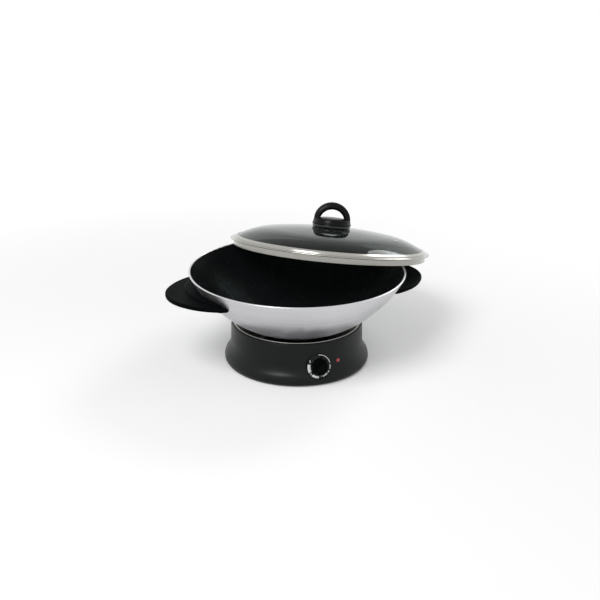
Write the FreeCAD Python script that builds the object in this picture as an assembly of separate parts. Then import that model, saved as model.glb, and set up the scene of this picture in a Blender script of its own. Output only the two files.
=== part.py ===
"""Electric wok: a round heating base, a loose wok with two handles and a loose glass lid.

The frame is in millimetres with +Z up. The origin is the centre of the base where it stands on the table.
The control knob faces -Y and the two handles of the wok point along -X and +X.
"""

import FreeCAD, Part
import math
import os

Vector = FreeCAD.Vector
UP = Vector(0, 0, 1)
CENTRE = Vector(0, 0, 0)

# Clearances
seat_gap = 0.05                # between pieces of one body that are fastened to each other
rest_gap = 0.3                 # between pieces that lift off each other
running_gap = 0.05             # round the thermostat's spindle
hole_gap = 0.1                 # round a piece that passes through a hole
screw_gap = 0.2                # round a screw that passes through a hole
overshoot = 1.0                # of a cutting tool past the face it cuts

# Base shell
base_height = 70.2             # top of the lip
base_rim_radius = 110.6        # outside of the wall under the lip
waist_radius = 111.5           # outside of the wall where the flare starts
waist_height = 35.0
flare_turn_radius = 117.8
flare_turn_height = 20.0
flare_radius = 122.3           # widest part of the foot
flare_height = 8.5
foot_edge_radius = 120.0       # outside of the bottom edge
shell_bottom = 2.0
flare_hollow = 0.9             # how far the flare's upper arc curves inwards
flare_swell = 0.9              # how far its lower arc curves outwards
foot_swell = 0.6
shell_wall = 3.0
foot_edge_wall = 1.5
lip_width = 5.0
lip_drop = 7.0                 # depth of the lip's inner edge
lip_step = 2.0

# Dial pad, the flat round face that the knob stands on
dial_height = 32.0
dial_tilt = 10.0               # degrees that the face looks up
dial_pad_proud = 3.6
dial_pad_radius = 20.5
dial_pad_depth = 8.0

# Control knob
knob_radius = 13.8
knob_taper = 0.6
knob_skirt_height = 5.5
knob_height = 15.5
knob_grip_width = 9.0
knob_grip_inset = 1.0
knob_grip_round = 1.2
knob_wall = 2.0
knob_recess_radius = 10.5
knob_recess_depth = 4.1
knob_gap = 0.6                 # under the skirt
knob_pointer_angle = 45.0      # degrees clockwise from upright

# Thermostat
spindle_radius = 3.0
spindle_flat = 1.0
spindle_depth = 10.0           # inside the thermostat
neck_radius = 4.2
neck_height = 4.0
nut_across_flats = 13.0
nut_height = 3.0
thermostat_radius = 15.0
thermostat_depth = 18.0
thermostat_edge = 1.0
blade_width = 6.3
blade_thickness = 0.8
blade_length = 8.0
blade_offset = 7.5

# Pilot lamp
pilot_angle = 18.4             # degrees to the right of the knob
pilot_height = 34.5
pilot_radius = 3.5
pilot_proud = 0.4
pilot_dome = 1.4
pilot_flange_radius = 5.0
pilot_flange_height = 1.8
pilot_front_wall = 1.0
neon_radius = 2.4
neon_length = 13.0
neon_tip_round = 1.5
neon_wire_radius = 0.4
neon_wire_length = 6.0
neon_wire_offset = 1.2

# Bottom cover
cover_bottom = 2.2
cover_thickness = 2.2
cover_gap = 0.3
cover_rib_radius = 49.8
cover_rib_width = 2.0
cover_rib_height = 2.0
vent_count = 16
vent_ring_radius = 62.0
vent_length = 22.0
vent_width = 4.0

# Rubber feet
foot_count = 4
foot_first_angle = 45.0
foot_inset = 14.2              # from the edge of the bottom cover
foot_radius = 7.5
foot_edge = 0.5
foot_stem_radius = 2.4
foot_head_radius = 3.6
foot_head_height = 1.4

# Screws of the bottom cover
cover_screw_count = 4
cover_screw_first_angle = 67.5
cover_screw_inset = 11.2
cover_screw_radius = 1.75
cover_screw_head_radius = 3.4
cover_screw_head_height = 1.4
cover_screw_length = 15.0
cover_screw_round = 0.6
screw_slot_width = 1.0
screw_slot_depth = 0.7
boss_radius = 4.6
boss_top = 34.0

# Cord outlet at the back
gland_height = 19.0
gland_pad_proud = 3.7
gland_pad_radius = 11.0
gland_pad_depth = 12.0
gland_bore_radius = 3.5
gland_sleeve_radius = 6.0
gland_flange_radius = 8.5
gland_flange_height = 3.0
gland_flange_round = 1.2
gland_collar_width = 1.6
gland_collar_length = 3.0

# Terminal block, on the bottom cover inside the cord outlet
block_length = 34.0
block_depth = 16.0
block_height = 15.0
block_gland_distance = 14.5
block_poles = 3
block_hole_radius = 2.2
block_hole_height = 5.25
block_wall_width = 1.2
block_wall_depth = 4.0

# Thermal fuse under the reflector
fuse_radius = 2.0
fuse_length = 14.0
fuse_lead_radius = 0.5
fuse_lead_length = 6.0
fuse_x = -26.0
fuse_y = 10.0
clip_width = 6.0
clip_thickness = 0.8
clip_wing = 6.0

# Heat reflector
reflector_wall = 1.0
reflector_flange_width = 1.6
reflector_drop = 6.5
reflector_floor_top = 41.0
reflector_floor_margin = 14.0  # of the floor beyond the ring of the element
reflector_corner = 5.0
reflector_corner_rise = 1.25
reflector_gap = 0.2            # inside the lip

# Heating element
element_ring_radius = 52.0
element_tube_radius = 4.25
element_above_floor = 7.2      # clear height under the tube
element_gap_angle = 24.0       # half of the gap between the two ends, at the back
element_bend_radius = 9.0
element_leg_bottom = 31.0
element_pin_radius = 1.6
element_pin_length = 8.0
bracket_angles = (200.0, 270.0, 340.0)
bracket_strap = 1.3
bracket_width = 8.0
bracket_foot = 16.0
bushing_radius = 7.5
bushing_depth = 5.0
bushing_neck_radius = 5.9
bushing_neck_height = 1.6

# Wok
wok_rim_radius = 180.0
wok_depth = 102.0              # from the flat underside to the rim
wok_arc_radius = 201.0         # round outside of the bowl
wok_wall = 3.0
wok_floor_thickness = 4.5
wok_rim_round = 0.8

# Wok handles. A point of the outline has its distance from the bowl and its angle from the handle's middle.
handle_drop = 23.0             # top of the wing below the rim
wing_thickness = 7.0
wing_round = 2.2
wing_length = 53.9
wing_shoulder_out = 44.0
wing_shoulder_angle = 12.1
wing_side_out = 24.1
wing_side_angle = 22.7
wing_end_out = 2.9
wing_end_angle = 34.9
root_length = 21.4
root_end_out = 12.3
root_end_angle = 28.0
root_rise = 4.5                # root above the wing
root_depth = 14.0              # root below the wing's top
root_bevel = 3.0

# Handle brackets and screws
tab_thickness = 1.5
tab_length = 15.4
tab_half_angle = 7.0
strap_height = 16.0
handle_screw_out = 8.4
handle_screw_radius = 2.0
handle_screw_head_radius = 4.0
handle_screw_head_height = 2.4
handle_screw_length = 14.0
handle_screw_round = 1.0

# Lid, in its own frame: the origin is the middle of the band's seat on the rim
lid_rim_margin = 2.0           # of the band inside the wok's rim
lid_flange_width = 6.5
lid_flange_thickness = 2.2
lid_skirt_depth = 10.0
lid_band_wall = 1.0
band_lip_width = 4.5
band_ledge_width = 2.0
band_shoulder = 0.4
glass_gap = 0.5                # between the glass and the skirt
lid_glass_thickness = 4.0
lid_height = 34.0
lid_crown_radius = 800.0
lid_shoulder_start = 110.0
lid_shoulder_radius = 150.0
glass_edge_bevel = 1.5
knob_hole_radius = 4.0

# Steam vent
vent_distance = 124.0
vent_angle = -95.0
vent_eyelet_radius = 4.0
vent_barrel_radius = 3.0
vent_hole_radius = 1.6
vent_flange = 0.8
vent_gap = 0.15                # off the curved glass

# Lid, how it lies on the wok
lid_shift_x = 97.0
lid_shift_y = 110.0
lid_lean = 12.3                # degrees
lid_lean_direction = 49.7      # degrees from +X towards +Y, the way the lid runs down

# Lid knob
knob_base_radius = 34.0
knob_base_height = 5.0
knob_base_round = 1.0
loop_radius = 35.0
loop_depth = 22.0
loop_edge = 4.0
loop_opening_radius = 22.4
loop_centre_height = 4.0       # above the top of the knob's base
loop_web = 12.0                # from the top of the base to the opening
loop_foot_margin = 2.0
loop_turn = -18.5              # direction of the loop, from +X
washer_radius = 14.0
washer_height = 1.5
washer_gap = 0.2               # off the curved glass
lid_screw_radius = 2.5
lid_screw_head_radius = 6.0
lid_screw_head_height = 3.0
lid_screw_length = 18.0
lid_screw_round = 1.4
lid_screw_slot_depth = 1.2
lid_screw_end = 3.0            # of solid moulding over the screw's end

# Sizes that follow from the ones above
lip_round = lip_width / 2
lip_inner_radius = base_rim_radius - lip_width
cover_top = cover_bottom + cover_thickness
cover_radius = foot_edge_radius - foot_edge_wall - cover_gap
foot_ring_radius = cover_radius - foot_inset
cover_screw_ring_radius = cover_radius - cover_screw_inset
dial_face_distance = waist_radius + dial_pad_proud
thermostat_back = -dial_pad_depth - seat_gap
gland_face_distance = flare_turn_radius + gland_pad_proud
gland_inner_face = -gland_pad_depth - seat_gap
gland_end_y = gland_face_distance + gland_inner_face - gland_collar_length
block_y = gland_end_y - block_gland_distance - block_depth / 2
reflector_under = reflector_floor_top - reflector_wall
reflector_floor_radius = element_ring_radius + reflector_floor_margin
element_centre_height = reflector_floor_top + element_above_floor + element_tube_radius
element_top = element_centre_height + element_tube_radius
wok_bottom = element_top + rest_gap
wok_rim_height = wok_bottom + wok_depth
wok_inner_arc = wok_arc_radius - wok_wall
bowl_centre_height = wok_rim_height + math.sqrt(wok_arc_radius ** 2 - wok_rim_radius ** 2)
wing_top = wok_rim_height - handle_drop
handle_seat_radius = math.sqrt(wok_arc_radius ** 2 - (bowl_centre_height - wing_top) ** 2)
root_bottom = wing_top - root_depth
root_top = wing_top + root_rise
tab_top = root_bottom - seat_gap
handle_screw_ring_radius = handle_seat_radius + handle_screw_out
lid_band_radius = wok_rim_radius - lid_rim_margin
lid_skirt_radius = lid_band_radius - lid_flange_width
glass_edge_radius = lid_skirt_radius - lid_band_wall - glass_gap
crown_centre_height = lid_height - lid_crown_radius
shoulder_turn = math.asin(lid_shoulder_start / lid_crown_radius)
shoulder_offset = lid_crown_radius - lid_shoulder_radius
shoulder_centre_radius = shoulder_offset * math.sin(shoulder_turn)
shoulder_centre_height = crown_centre_height + shoulder_offset * math.cos(shoulder_turn)


class Outline:
    """A closed outline of straight lines and arcs on one plane, drawn anticlockwise."""

    def __init__(self, plane, a, b):
        self.plane = plane
        self.a = a
        self.b = b
        self.start_a = a
        self.start_b = b
        self.here = plane(a, b)
        self.edges = []

    def go(self, edge, a, b):
        self.edges.append(edge.toShape())
        self.a = a
        self.b = b
        self.here = self.plane(a, b)
        return self

    def line(self, a, b):
        return self.go(Part.LineSegment(self.here, self.plane(a, b)), a, b)

    def arc(self, through_a, through_b, a, b):
        return self.go(Part.Arc(self.here, self.plane(through_a, through_b), self.plane(a, b)), a, b)

    def about(self, centre_a, centre_b, a, b):
        """The shorter arc round a centre."""
        middle_a = (self.a + a) / 2 - centre_a
        middle_b = (self.b + b) / 2 - centre_b
        share = math.hypot(a - centre_a, b - centre_b) / math.hypot(middle_a, middle_b)
        return self.arc(centre_a + middle_a * share, centre_b + middle_b * share, a, b)

    def swell(self, height, a, b):
        """An arc that stands out from its chord by a height, or is hollow where that is negative."""
        length = math.hypot(a - self.a, b - self.b)
        through_a = (self.a + a) / 2 + height * (b - self.b) / length
        through_b = (self.b + b) / 2 - height * (a - self.a) / length
        return self.arc(through_a, through_b, a, b)

    def quarter(self, a, b):
        """A quarter of a circle, rounding a corner."""
        chord = math.hypot(a - self.a, b - self.b)
        return self.swell(chord * math.tan(math.radians(22.5)) / 2, a, b)

    def face(self):
        if math.hypot(self.a - self.start_a, self.b - self.start_b) > 1e-6:
            self.line(self.start_a, self.start_b)
        return Part.Face(Part.Wire(self.edges))


def radial_plane(r, z):
    return Vector(r, 0, z)


def flat_plane(x, y):
    return Vector(x, y, 0)


def turned(outline, degrees=360.0):
    """Revolve an outline drawn in the radial plane round the Z axis."""
    return outline.face().revolve(CENTRE, UP, degrees)


def rod(radius, bottom, top, x=0.0, y=0.0):
    return Part.makeCylinder(radius, top - bottom, Vector(x, y, bottom), UP)


def box(x0, x1, y0, y1, z0, z1):
    return Part.makeBox(x1 - x0, y1 - y0, z1 - z0, Vector(x0, y0, z0))


def about_z(shape, degrees):
    copy = shape.copy()
    copy.rotate(CENTRE, UP, degrees)
    return copy


def ring_of(shape, count, first=0.0):
    """Copies of one shape at equal angles round the Z axis."""
    return [about_z(shape, first + 360.0 * k / count) for k in range(count)]


def edges_at(shape, height):
    """The edges that lie flat at one height."""
    level = 0.01
    flat = []
    for edge in shape.Edges:
        bounds = edge.BoundBox
        if abs(bounds.ZMin - height) < level and abs(bounds.ZMax - height) < level:
            flat.append(edge)
    return flat


def arcs_only(edges):
    return [edge for edge in edges if edge.Curve.TypeId == "Part::GeomCircle"]


def facing(shape, distance, height, tilt, azimuth):
    """Take a shape drawn on the XY plane to a face that looks outwards.

    Its +Z turns to the outward direction, its +Y stays upwards and the azimuth is counted from +X.
    """
    copy = shape.copy()
    copy.rotate(CENTRE, Vector(1, 0, 0), 90.0 - tilt)
    copy.translate(Vector(0, -distance, height))
    copy.rotate(CENTRE, UP, azimuth + 90.0)
    return copy


def on_dial(shape):
    return facing(shape, dial_face_distance, dial_height, dial_tilt, -90.0)


def at_pilot(shape):
    return facing(shape, wall_radius(pilot_height), pilot_height, 0.0, -90.0 + pilot_angle)


def at_gland(shape):
    return facing(shape, gland_face_distance, gland_height, 0.0, 90.0)


def wall_radius(height):
    """Outside radius of the straight part of the base's wall at a height."""
    top = base_height - lip_round
    share = (height - waist_height) / (top - waist_height)
    return waist_radius + (base_rim_radius - waist_radius) * share


def bowl_radius_at(height, arc_radius):
    return math.sqrt(arc_radius ** 2 - (bowl_centre_height - height) ** 2)


def slotted(head, centre_x, bottom, depth):
    """Cut a screwdriver slot into the underside of a screw's head."""
    reach = head.BoundBox.XLength
    half = screw_slot_width / 2
    return head.cut(box(centre_x - reach, centre_x + reach, -half, half, bottom - overshoot, bottom + depth))


def make_base_shell():
    bore = cover_radius + cover_gap
    profile = Outline(radial_plane, foot_edge_radius, shell_bottom)
    profile.swell(foot_swell, flare_radius, flare_height)
    profile.swell(flare_swell, flare_turn_radius, flare_turn_height)
    profile.swell(-flare_hollow, waist_radius, waist_height)
    profile.line(base_rim_radius, base_height - lip_round)
    profile.quarter(base_rim_radius - lip_round, base_height)
    profile.line(lip_inner_radius + lip_round / 2, base_height)
    profile.quarter(lip_inner_radius, base_height - lip_round / 2)
    profile.line(lip_inner_radius, base_height - lip_drop)
    profile.line(base_rim_radius - shell_wall, base_height - lip_drop - lip_step)
    profile.line(waist_radius - shell_wall, waist_height)
    profile.swell(flare_hollow, flare_turn_radius - shell_wall, flare_turn_height)
    profile.line(bore, flare_height)
    profile.line(bore, shell_bottom)
    shell = turned(profile)

    dial_pad = on_dial(rod(dial_pad_radius, -dial_pad_depth, 0.0))
    dial_front = on_dial(rod(dial_pad_radius, 0.0, dial_pad_depth + shell_wall))
    gland_pad = at_gland(rod(gland_pad_radius, -gland_pad_depth, 0.0))
    gland_front = at_gland(rod(gland_pad_radius, 0.0, gland_pad_depth))
    shell = shell.fuse([dial_pad, gland_pad]).cut(Part.makeCompound([dial_front, gland_front]))

    boss = rod(boss_radius, cover_top + seat_gap, boss_top, cover_screw_ring_radius)
    space = turned(space_inside_wall())
    bosses = ring_of(boss.common(space), cover_screw_count, cover_screw_first_angle)
    shell = shell.fuse(bosses)

    screw_end = cover_bottom + cover_screw_length
    screw_hole = rod(cover_screw_radius + running_gap, 0.0, screw_end, cover_screw_ring_radius)
    holes = ring_of(screw_hole, cover_screw_count, cover_screw_first_angle)
    holes.append(on_dial(rod(neck_radius + hole_gap, -dial_pad_depth - overshoot, overshoot)))
    holes.append(at_pilot(rod(pilot_radius + hole_gap, -shell_wall - overshoot, 2 * shell_wall)))
    holes.append(at_gland(rod(gland_sleeve_radius + hole_gap, -gland_pad_depth - overshoot, overshoot)))
    return shell.cut(Part.makeCompound(holes)).removeSplitter()


def space_inside_wall():
    """The space inside the middle of the wall, which trims the screw bosses."""
    inset = shell_wall / 2
    top = base_height - lip_drop
    space = Outline(radial_plane, 0.0, 0.0)
    space.line(cover_radius, 0.0)
    space.line(flare_turn_radius - inset, flare_turn_height)
    space.line(waist_radius - inset, waist_height)
    space.line(base_rim_radius - inset, top)
    space.line(0.0, top)
    return space


def make_bottom_cover():
    plate = rod(cover_radius, cover_bottom, cover_top)
    rib_top = cover_top + cover_rib_height
    rib = rod(cover_rib_radius, cover_top, rib_top)
    rib = rib.cut(rod(cover_rib_radius - cover_rib_width, cover_top, rib_top))
    plate = plate.fuse(rib)
    near = vent_ring_radius - vent_length / 2
    far = vent_ring_radius + vent_length / 2
    slot = box(near, far, -vent_width / 2, vent_width / 2, 0.0, cover_top)
    ends = [rod(vent_width / 2, 0.0, cover_top, x) for x in (near, far)]
    slot = slot.fuse(ends).removeSplitter()
    holes = ring_of(slot, vent_count, 180.0 / vent_count)
    stem_hole = rod(foot_stem_radius + hole_gap, 0.0, cover_top, foot_ring_radius)
    holes += ring_of(stem_hole, foot_count, foot_first_angle)
    screw_hole = rod(cover_screw_radius + screw_gap, 0.0, cover_top, cover_screw_ring_radius)
    holes += ring_of(screw_hole, cover_screw_count, cover_screw_first_angle)
    return plate.cut(Part.makeCompound(holes))


def make_rubber_feet():
    pad = rod(foot_radius, 0.0, cover_bottom - seat_gap, foot_ring_radius)
    pad = pad.makeChamfer(foot_edge, edges_at(pad, 0.0))
    head_bottom = cover_top + seat_gap
    stem = rod(foot_stem_radius, cover_bottom - foot_edge, head_bottom + seat_gap, foot_ring_radius)
    seat = Vector(foot_ring_radius, 0, head_bottom)
    head = Part.makeCone(foot_head_radius, foot_stem_radius, foot_head_height, seat, UP)
    foot = pad.fuse([stem, head]).removeSplitter()
    return Part.makeCompound(ring_of(foot, foot_count, foot_first_angle))


def make_cover_screws():
    head_top = cover_bottom - seat_gap
    head_bottom = head_top - cover_screw_head_height
    head = rod(cover_screw_head_radius, head_bottom, head_top, cover_screw_ring_radius)
    head = head.makeFillet(cover_screw_round, edges_at(head, head_bottom))
    head = slotted(head, cover_screw_ring_radius, head_bottom, screw_slot_depth)
    shank_bottom = head_top - cover_screw_round
    shank_top = cover_bottom + cover_screw_length - seat_gap
    screw = head.fuse(rod(cover_screw_radius, shank_bottom, shank_top, cover_screw_ring_radius))
    return Part.makeCompound(ring_of(screw, cover_screw_count, cover_screw_first_angle))


def make_thermostat_body():
    back = thermostat_back
    end = back - thermostat_depth
    body = rod(thermostat_radius, end, back)
    body = body.makeChamfer(thermostat_edge, edges_at(body, end))
    body = body.fuse(rod(neck_radius, back - overshoot, neck_height))
    thin = blade_thickness / 2
    wide = blade_width / 2
    for x in (-blade_offset, blade_offset):
        body = body.fuse(box(x - thin, x + thin, -wide, wide, end - blade_length, end + overshoot))
    return on_dial(body.cut(rod(spindle_radius + running_gap, back - spindle_depth, neck_height)))


def make_thermostat_nut():
    corner = nut_across_flats / 2 / math.cos(math.radians(30.0))
    first = Vector(corner, 0, seat_gap)
    corners = [about_z(Part.Vertex(first), 60.0 * k).Point for k in range(7)]
    nut = Part.Face(Part.makePolygon(corners)).extrude(UP * nut_height)
    return on_dial(nut.cut(rod(neck_radius + seat_gap, 0.0, nut_height + overshoot)))


def spindle_section(gap, bottom, top):
    """The spindle, or the socket for it, with the flat that drives the knob."""
    flat_start = neck_height + overshoot + gap
    radius = spindle_radius + gap
    spindle = rod(radius, bottom, top)
    flat = box(-radius, radius, radius - spindle_flat, radius, flat_start, top)
    return spindle.cut(flat)


def make_thermostat_spindle():
    bottom = thermostat_back - spindle_depth + running_gap
    top = knob_gap + knob_height - knob_wall - seat_gap
    return on_dial(about_z(spindle_section(0.0, bottom, top), -knob_pointer_angle))


def make_control_knob():
    bottom = knob_gap
    skirt_top = bottom + knob_skirt_height
    top = bottom + knob_height
    skirt = Part.makeCone(knob_radius, knob_radius - knob_taper, knob_skirt_height, UP * bottom, UP)
    skirt = skirt.makeFillet(knob_taper, edges_at(skirt, skirt_top))
    half = knob_grip_width / 2
    reach = knob_radius - knob_grip_inset
    grip = Outline(flat_plane, -half, half - reach)
    grip.arc(0.0, -reach, half, half - reach)
    grip.line(half, reach - half)
    grip.arc(0.0, reach, -half, reach - half)
    bar = grip.face().extrude(UP * (top - bottom - knob_taper))
    bar.translate(UP * (bottom + knob_taper))
    bar = bar.makeFillet(knob_grip_round, edges_at(bar, top))
    recess = rod(knob_recess_radius, bottom - overshoot, bottom + knob_recess_depth)
    socket = spindle_section(seat_gap, bottom - overshoot, top - knob_wall)
    knob = skirt.fuse(bar).cut(recess).cut(socket)
    return on_dial(about_z(knob, -knob_pointer_angle))


def make_pilot_lens():
    inner = -shell_wall - cover_gap
    bottom = inner - pilot_flange_height
    dome_top = pilot_proud + pilot_dome
    dome_arc = (pilot_radius ** 2 + pilot_dome ** 2) / (2 * pilot_dome)
    flange = rod(pilot_flange_radius, bottom, inner)
    body = Outline(radial_plane, 0.0, bottom)
    body.line(pilot_radius, bottom)
    body.line(pilot_radius, pilot_proud)
    body.about(0.0, dome_top - dome_arc, 0.0, dome_top)
    hollow = rod(neon_radius + hole_gap, bottom - overshoot, -pilot_front_wall)
    return at_pilot(turned(body).fuse(flange).cut(hollow))


def make_pilot_lamp():
    tip = -pilot_front_wall - hole_gap
    end = tip - neon_length
    glass = rod(neon_radius, end, tip)
    glass = glass.makeFillet(neon_tip_round, edges_at(glass, tip))
    for x in (-neon_wire_offset, neon_wire_offset):
        glass = glass.fuse(rod(neon_wire_radius, end - neon_wire_length, end + neon_wire_radius, x))
    return at_pilot(glass)


def make_cord_gland():
    flange_top = seat_gap + gland_flange_height
    flange = rod(gland_flange_radius, seat_gap, flange_top)
    flange = flange.makeFillet(gland_flange_round, edges_at(flange, flange_top))
    end = gland_inner_face - gland_collar_length
    sleeve = rod(gland_sleeve_radius, end, flange_top - gland_flange_round)
    collar = rod(gland_sleeve_radius + gland_collar_width, end, gland_inner_face)
    bore = rod(gland_bore_radius, end - overshoot, flange_top + overshoot)
    return at_gland(flange.fuse([sleeve, collar]).cut(bore))


def make_terminal_block():
    bottom = cover_top + seat_gap
    top = bottom + block_height
    front = block_y - block_depth / 2
    back = block_y + block_depth / 2
    hole_z = bottom + block_hole_height
    pitch = block_length / block_poles
    block = box(-block_length / 2, block_length / 2, front, back, bottom, top)
    for k in range(block_poles):
        x = (k - (block_poles - 1) / 2) * pitch
        mouth = Vector(x, front, hole_z)
        wire_hole = Part.makeCylinder(block_hole_radius, block_depth, mouth, Vector(0, 1, 0))
        screw_hole = rod(block_hole_radius, hole_z, top, x, block_y)
        block = block.cut(wire_hole.fuse(screw_hole))
    for k in range(1, block_poles):
        wall_x = (k - block_poles / 2) * pitch
        half = block_wall_width / 2
        block = block.cut(box(wall_x - half, wall_x + half, front, back, top - block_wall_depth, top))
    return block


def make_thermal_fuse():
    height = reflector_under - seat_gap - fuse_radius
    along = Vector(0, 1, 0)
    start = Vector(fuse_x, fuse_y - fuse_length / 2, height)
    fuse = Part.makeCylinder(fuse_radius, fuse_length, start, along)
    lead_start = start - along * fuse_lead_length
    lead = Part.makeCylinder(fuse_lead_radius, fuse_length + 2 * fuse_lead_length, lead_start, along)
    return fuse.fuse(lead)


def make_fuse_clip():
    """A strap under the fuse with a wing on each side against the reflector."""
    under = reflector_under - seat_gap
    inner = fuse_radius + seat_gap
    outer = inner + clip_thickness
    height = under - fuse_radius
    wing_under = under - clip_thickness

    def across(x, z):
        return Vector(fuse_x + x, fuse_y - clip_width / 2, z)

    strap = Outline(across, -inner, under)
    strap.line(-inner, height)
    strap.arc(0.0, height - inner, inner, height)
    strap.line(inner, under)
    strap.line(outer + clip_wing, under)
    strap.line(outer + clip_wing, wing_under)
    strap.line(outer, wing_under)
    strap.line(outer, height)
    strap.arc(0.0, height - outer, -outer, height)
    strap.line(-outer, wing_under)
    strap.line(-outer - clip_wing, wing_under)
    strap.line(-outer - clip_wing, under)
    return strap.face().extrude(Vector(0, clip_width, 0))


def element_end(side):
    """The end of the ring on one side of its gap, and the way the tube leaves it."""
    angle = math.radians(90.0 + side * element_gap_angle)
    outwards = Vector(math.cos(angle), math.sin(angle), 0)
    point = outwards * element_ring_radius + UP * element_centre_height
    leaving = Vector(outwards.y, -outwards.x, 0) * side
    return point, leaving


def element_leg(side):
    point, leaving = element_end(side)
    return point + leaving * element_bend_radius


def element_bend(side):
    """The middle and the end of the bend from the ring down into a leg."""
    point, leaving = element_end(side)
    half = math.radians(45.0)
    middle = leaving * math.sin(half) - UP * (1.0 - math.cos(half))
    return point + middle * element_bend_radius, element_leg(side) - UP * element_bend_radius


def make_heating_element():
    left, right = element_end(1)[0], element_end(-1)[0]
    left_middle, left_leg = element_bend(1)
    right_middle, right_leg = element_bend(-1)
    left_foot = Vector(left_leg.x, left_leg.y, element_leg_bottom)
    right_foot = Vector(right_leg.x, right_leg.y, element_leg_bottom)
    front = Vector(0, -element_ring_radius, element_centre_height)
    route = [
        Part.LineSegment(left_foot, left_leg),
        Part.Arc(left_leg, left_middle, left),
        Part.Arc(left, front, right),
        Part.Arc(right, right_middle, right_leg),
        Part.LineSegment(right_leg, right_foot),
    ]
    section = Part.Wire(Part.makeCircle(element_tube_radius, left_foot, UP))
    tube = Part.Wire([piece.toShape() for piece in route]).makePipeShell([section], True, False)
    solid = tube if tube.ShapeType == "Solid" else Part.Solid(tube)
    pin_bottom = element_leg_bottom - element_pin_length
    pin_top = element_leg_bottom + overshoot
    pins = [rod(element_pin_radius, pin_bottom, pin_top, foot.x, foot.y) for foot in (left_foot, right_foot)]
    return solid.fuse(pins)


def make_element_brackets():
    """Cradles that carry the tube on the reflector's floor."""
    inner = element_tube_radius + seat_gap
    outer = inner + bracket_strap
    half = bracket_width / 2
    floor = reflector_floor_top + seat_gap
    middle = element_centre_height
    x = element_ring_radius
    cradle = Part.makeCylinder(outer, bracket_width, Vector(x, -half, middle), Vector(0, 1, 0))
    cradle = cradle.cut(box(x - outer, x + outer, -half, half, middle, middle + outer))
    leg = box(x - bracket_strap / 2, x + bracket_strap / 2, -half, half, floor, middle - inner)
    foot = box(x - bracket_foot / 2, x + bracket_foot / 2, -half, half, floor, floor + bracket_strap)
    ring = Part.makeTorus(element_ring_radius, inner, UP * middle, UP)
    bracket = cradle.fuse([leg, foot]).cut(ring)
    return Part.makeCompound([about_z(bracket, angle) for angle in bracket_angles])


def make_element_bushings():
    top = reflector_under - seat_gap
    bottom = top - bushing_depth
    neck_top = reflector_under + bushing_neck_height
    bushings = []
    for side in (-1, 1):
        leg = element_leg(side)
        body = rod(bushing_radius, bottom, top, leg.x, leg.y)
        neck = rod(bushing_neck_radius, bottom, neck_top, leg.x, leg.y)
        bore = rod(element_tube_radius + seat_gap, bottom, neck_top, leg.x, leg.y)
        bushings.append(body.fuse(neck).cut(bore))
    return Part.makeCompound(bushings)


def make_heat_reflector():
    """A pressed dish that hangs by its flange on the lip of the shell."""
    wall = reflector_wall
    outer = lip_inner_radius - reflector_gap
    under = base_height + seat_gap
    top = under + wall
    flange = lip_inner_radius + reflector_flange_width
    floor = reflector_floor_top
    floor_edge = reflector_floor_radius
    knee = base_height - reflector_drop
    dish = Outline(radial_plane, 0.0, reflector_under)
    dish.line(floor_edge - reflector_corner, reflector_under)
    dish.line(floor_edge, reflector_under + reflector_corner_rise)
    dish.line(outer, knee)
    dish.line(outer, under)
    dish.line(flange, under)
    dish.swell(wall / 2, flange, top)
    dish.line(outer, top)
    dish.quarter(outer - wall, under)
    dish.line(outer - wall, knee + wall / 2)
    dish.line(floor_edge - wall / 2, floor + reflector_corner_rise)
    dish.line(floor_edge - reflector_corner, floor)
    dish.line(0.0, floor)
    reflector = turned(dish)
    hole_radius = bushing_neck_radius + hole_gap
    for side in (-1, 1):
        leg = element_leg(side)
        hole = rod(hole_radius, reflector_under - overshoot, floor + overshoot, leg.x, leg.y)
        reflector = reflector.cut(hole)
    return reflector


def make_wok_bowl():
    centre = bowl_centre_height
    rim = wok_rim_height
    floor_top = wok_bottom + wok_floor_thickness
    outer_stop = bowl_radius_at(rim - wok_rim_round, wok_arc_radius)
    inner_stop = bowl_radius_at(rim - wok_rim_round, wok_inner_arc)
    bowl = Outline(radial_plane, 0.0, wok_bottom)
    bowl.line(bowl_radius_at(wok_bottom, wok_arc_radius), wok_bottom)
    bowl.about(0.0, centre, outer_stop, rim - wok_rim_round)
    bowl.quarter(outer_stop - wok_rim_round, rim)
    bowl.line(inner_stop + wok_rim_round, rim)
    bowl.quarter(inner_stop, rim - wok_rim_round)
    bowl.about(0.0, centre, bowl_radius_at(floor_top, wok_inner_arc), floor_top)
    bowl.line(0.0, floor_top)
    return turned(bowl)


def bowl_clearance():
    """A ball a little larger than the outside of the bowl, which trims what is fastened to it."""
    return Part.makeSphere(wok_arc_radius + seat_gap, UP * bowl_centre_height)


def beside_bowl(out, degrees):
    """A point at a distance from the bowl, with its angle from the middle of the handle."""
    distance = handle_seat_radius + out
    angle = math.radians(degrees)
    return distance * math.cos(angle), distance * math.sin(angle)


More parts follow.
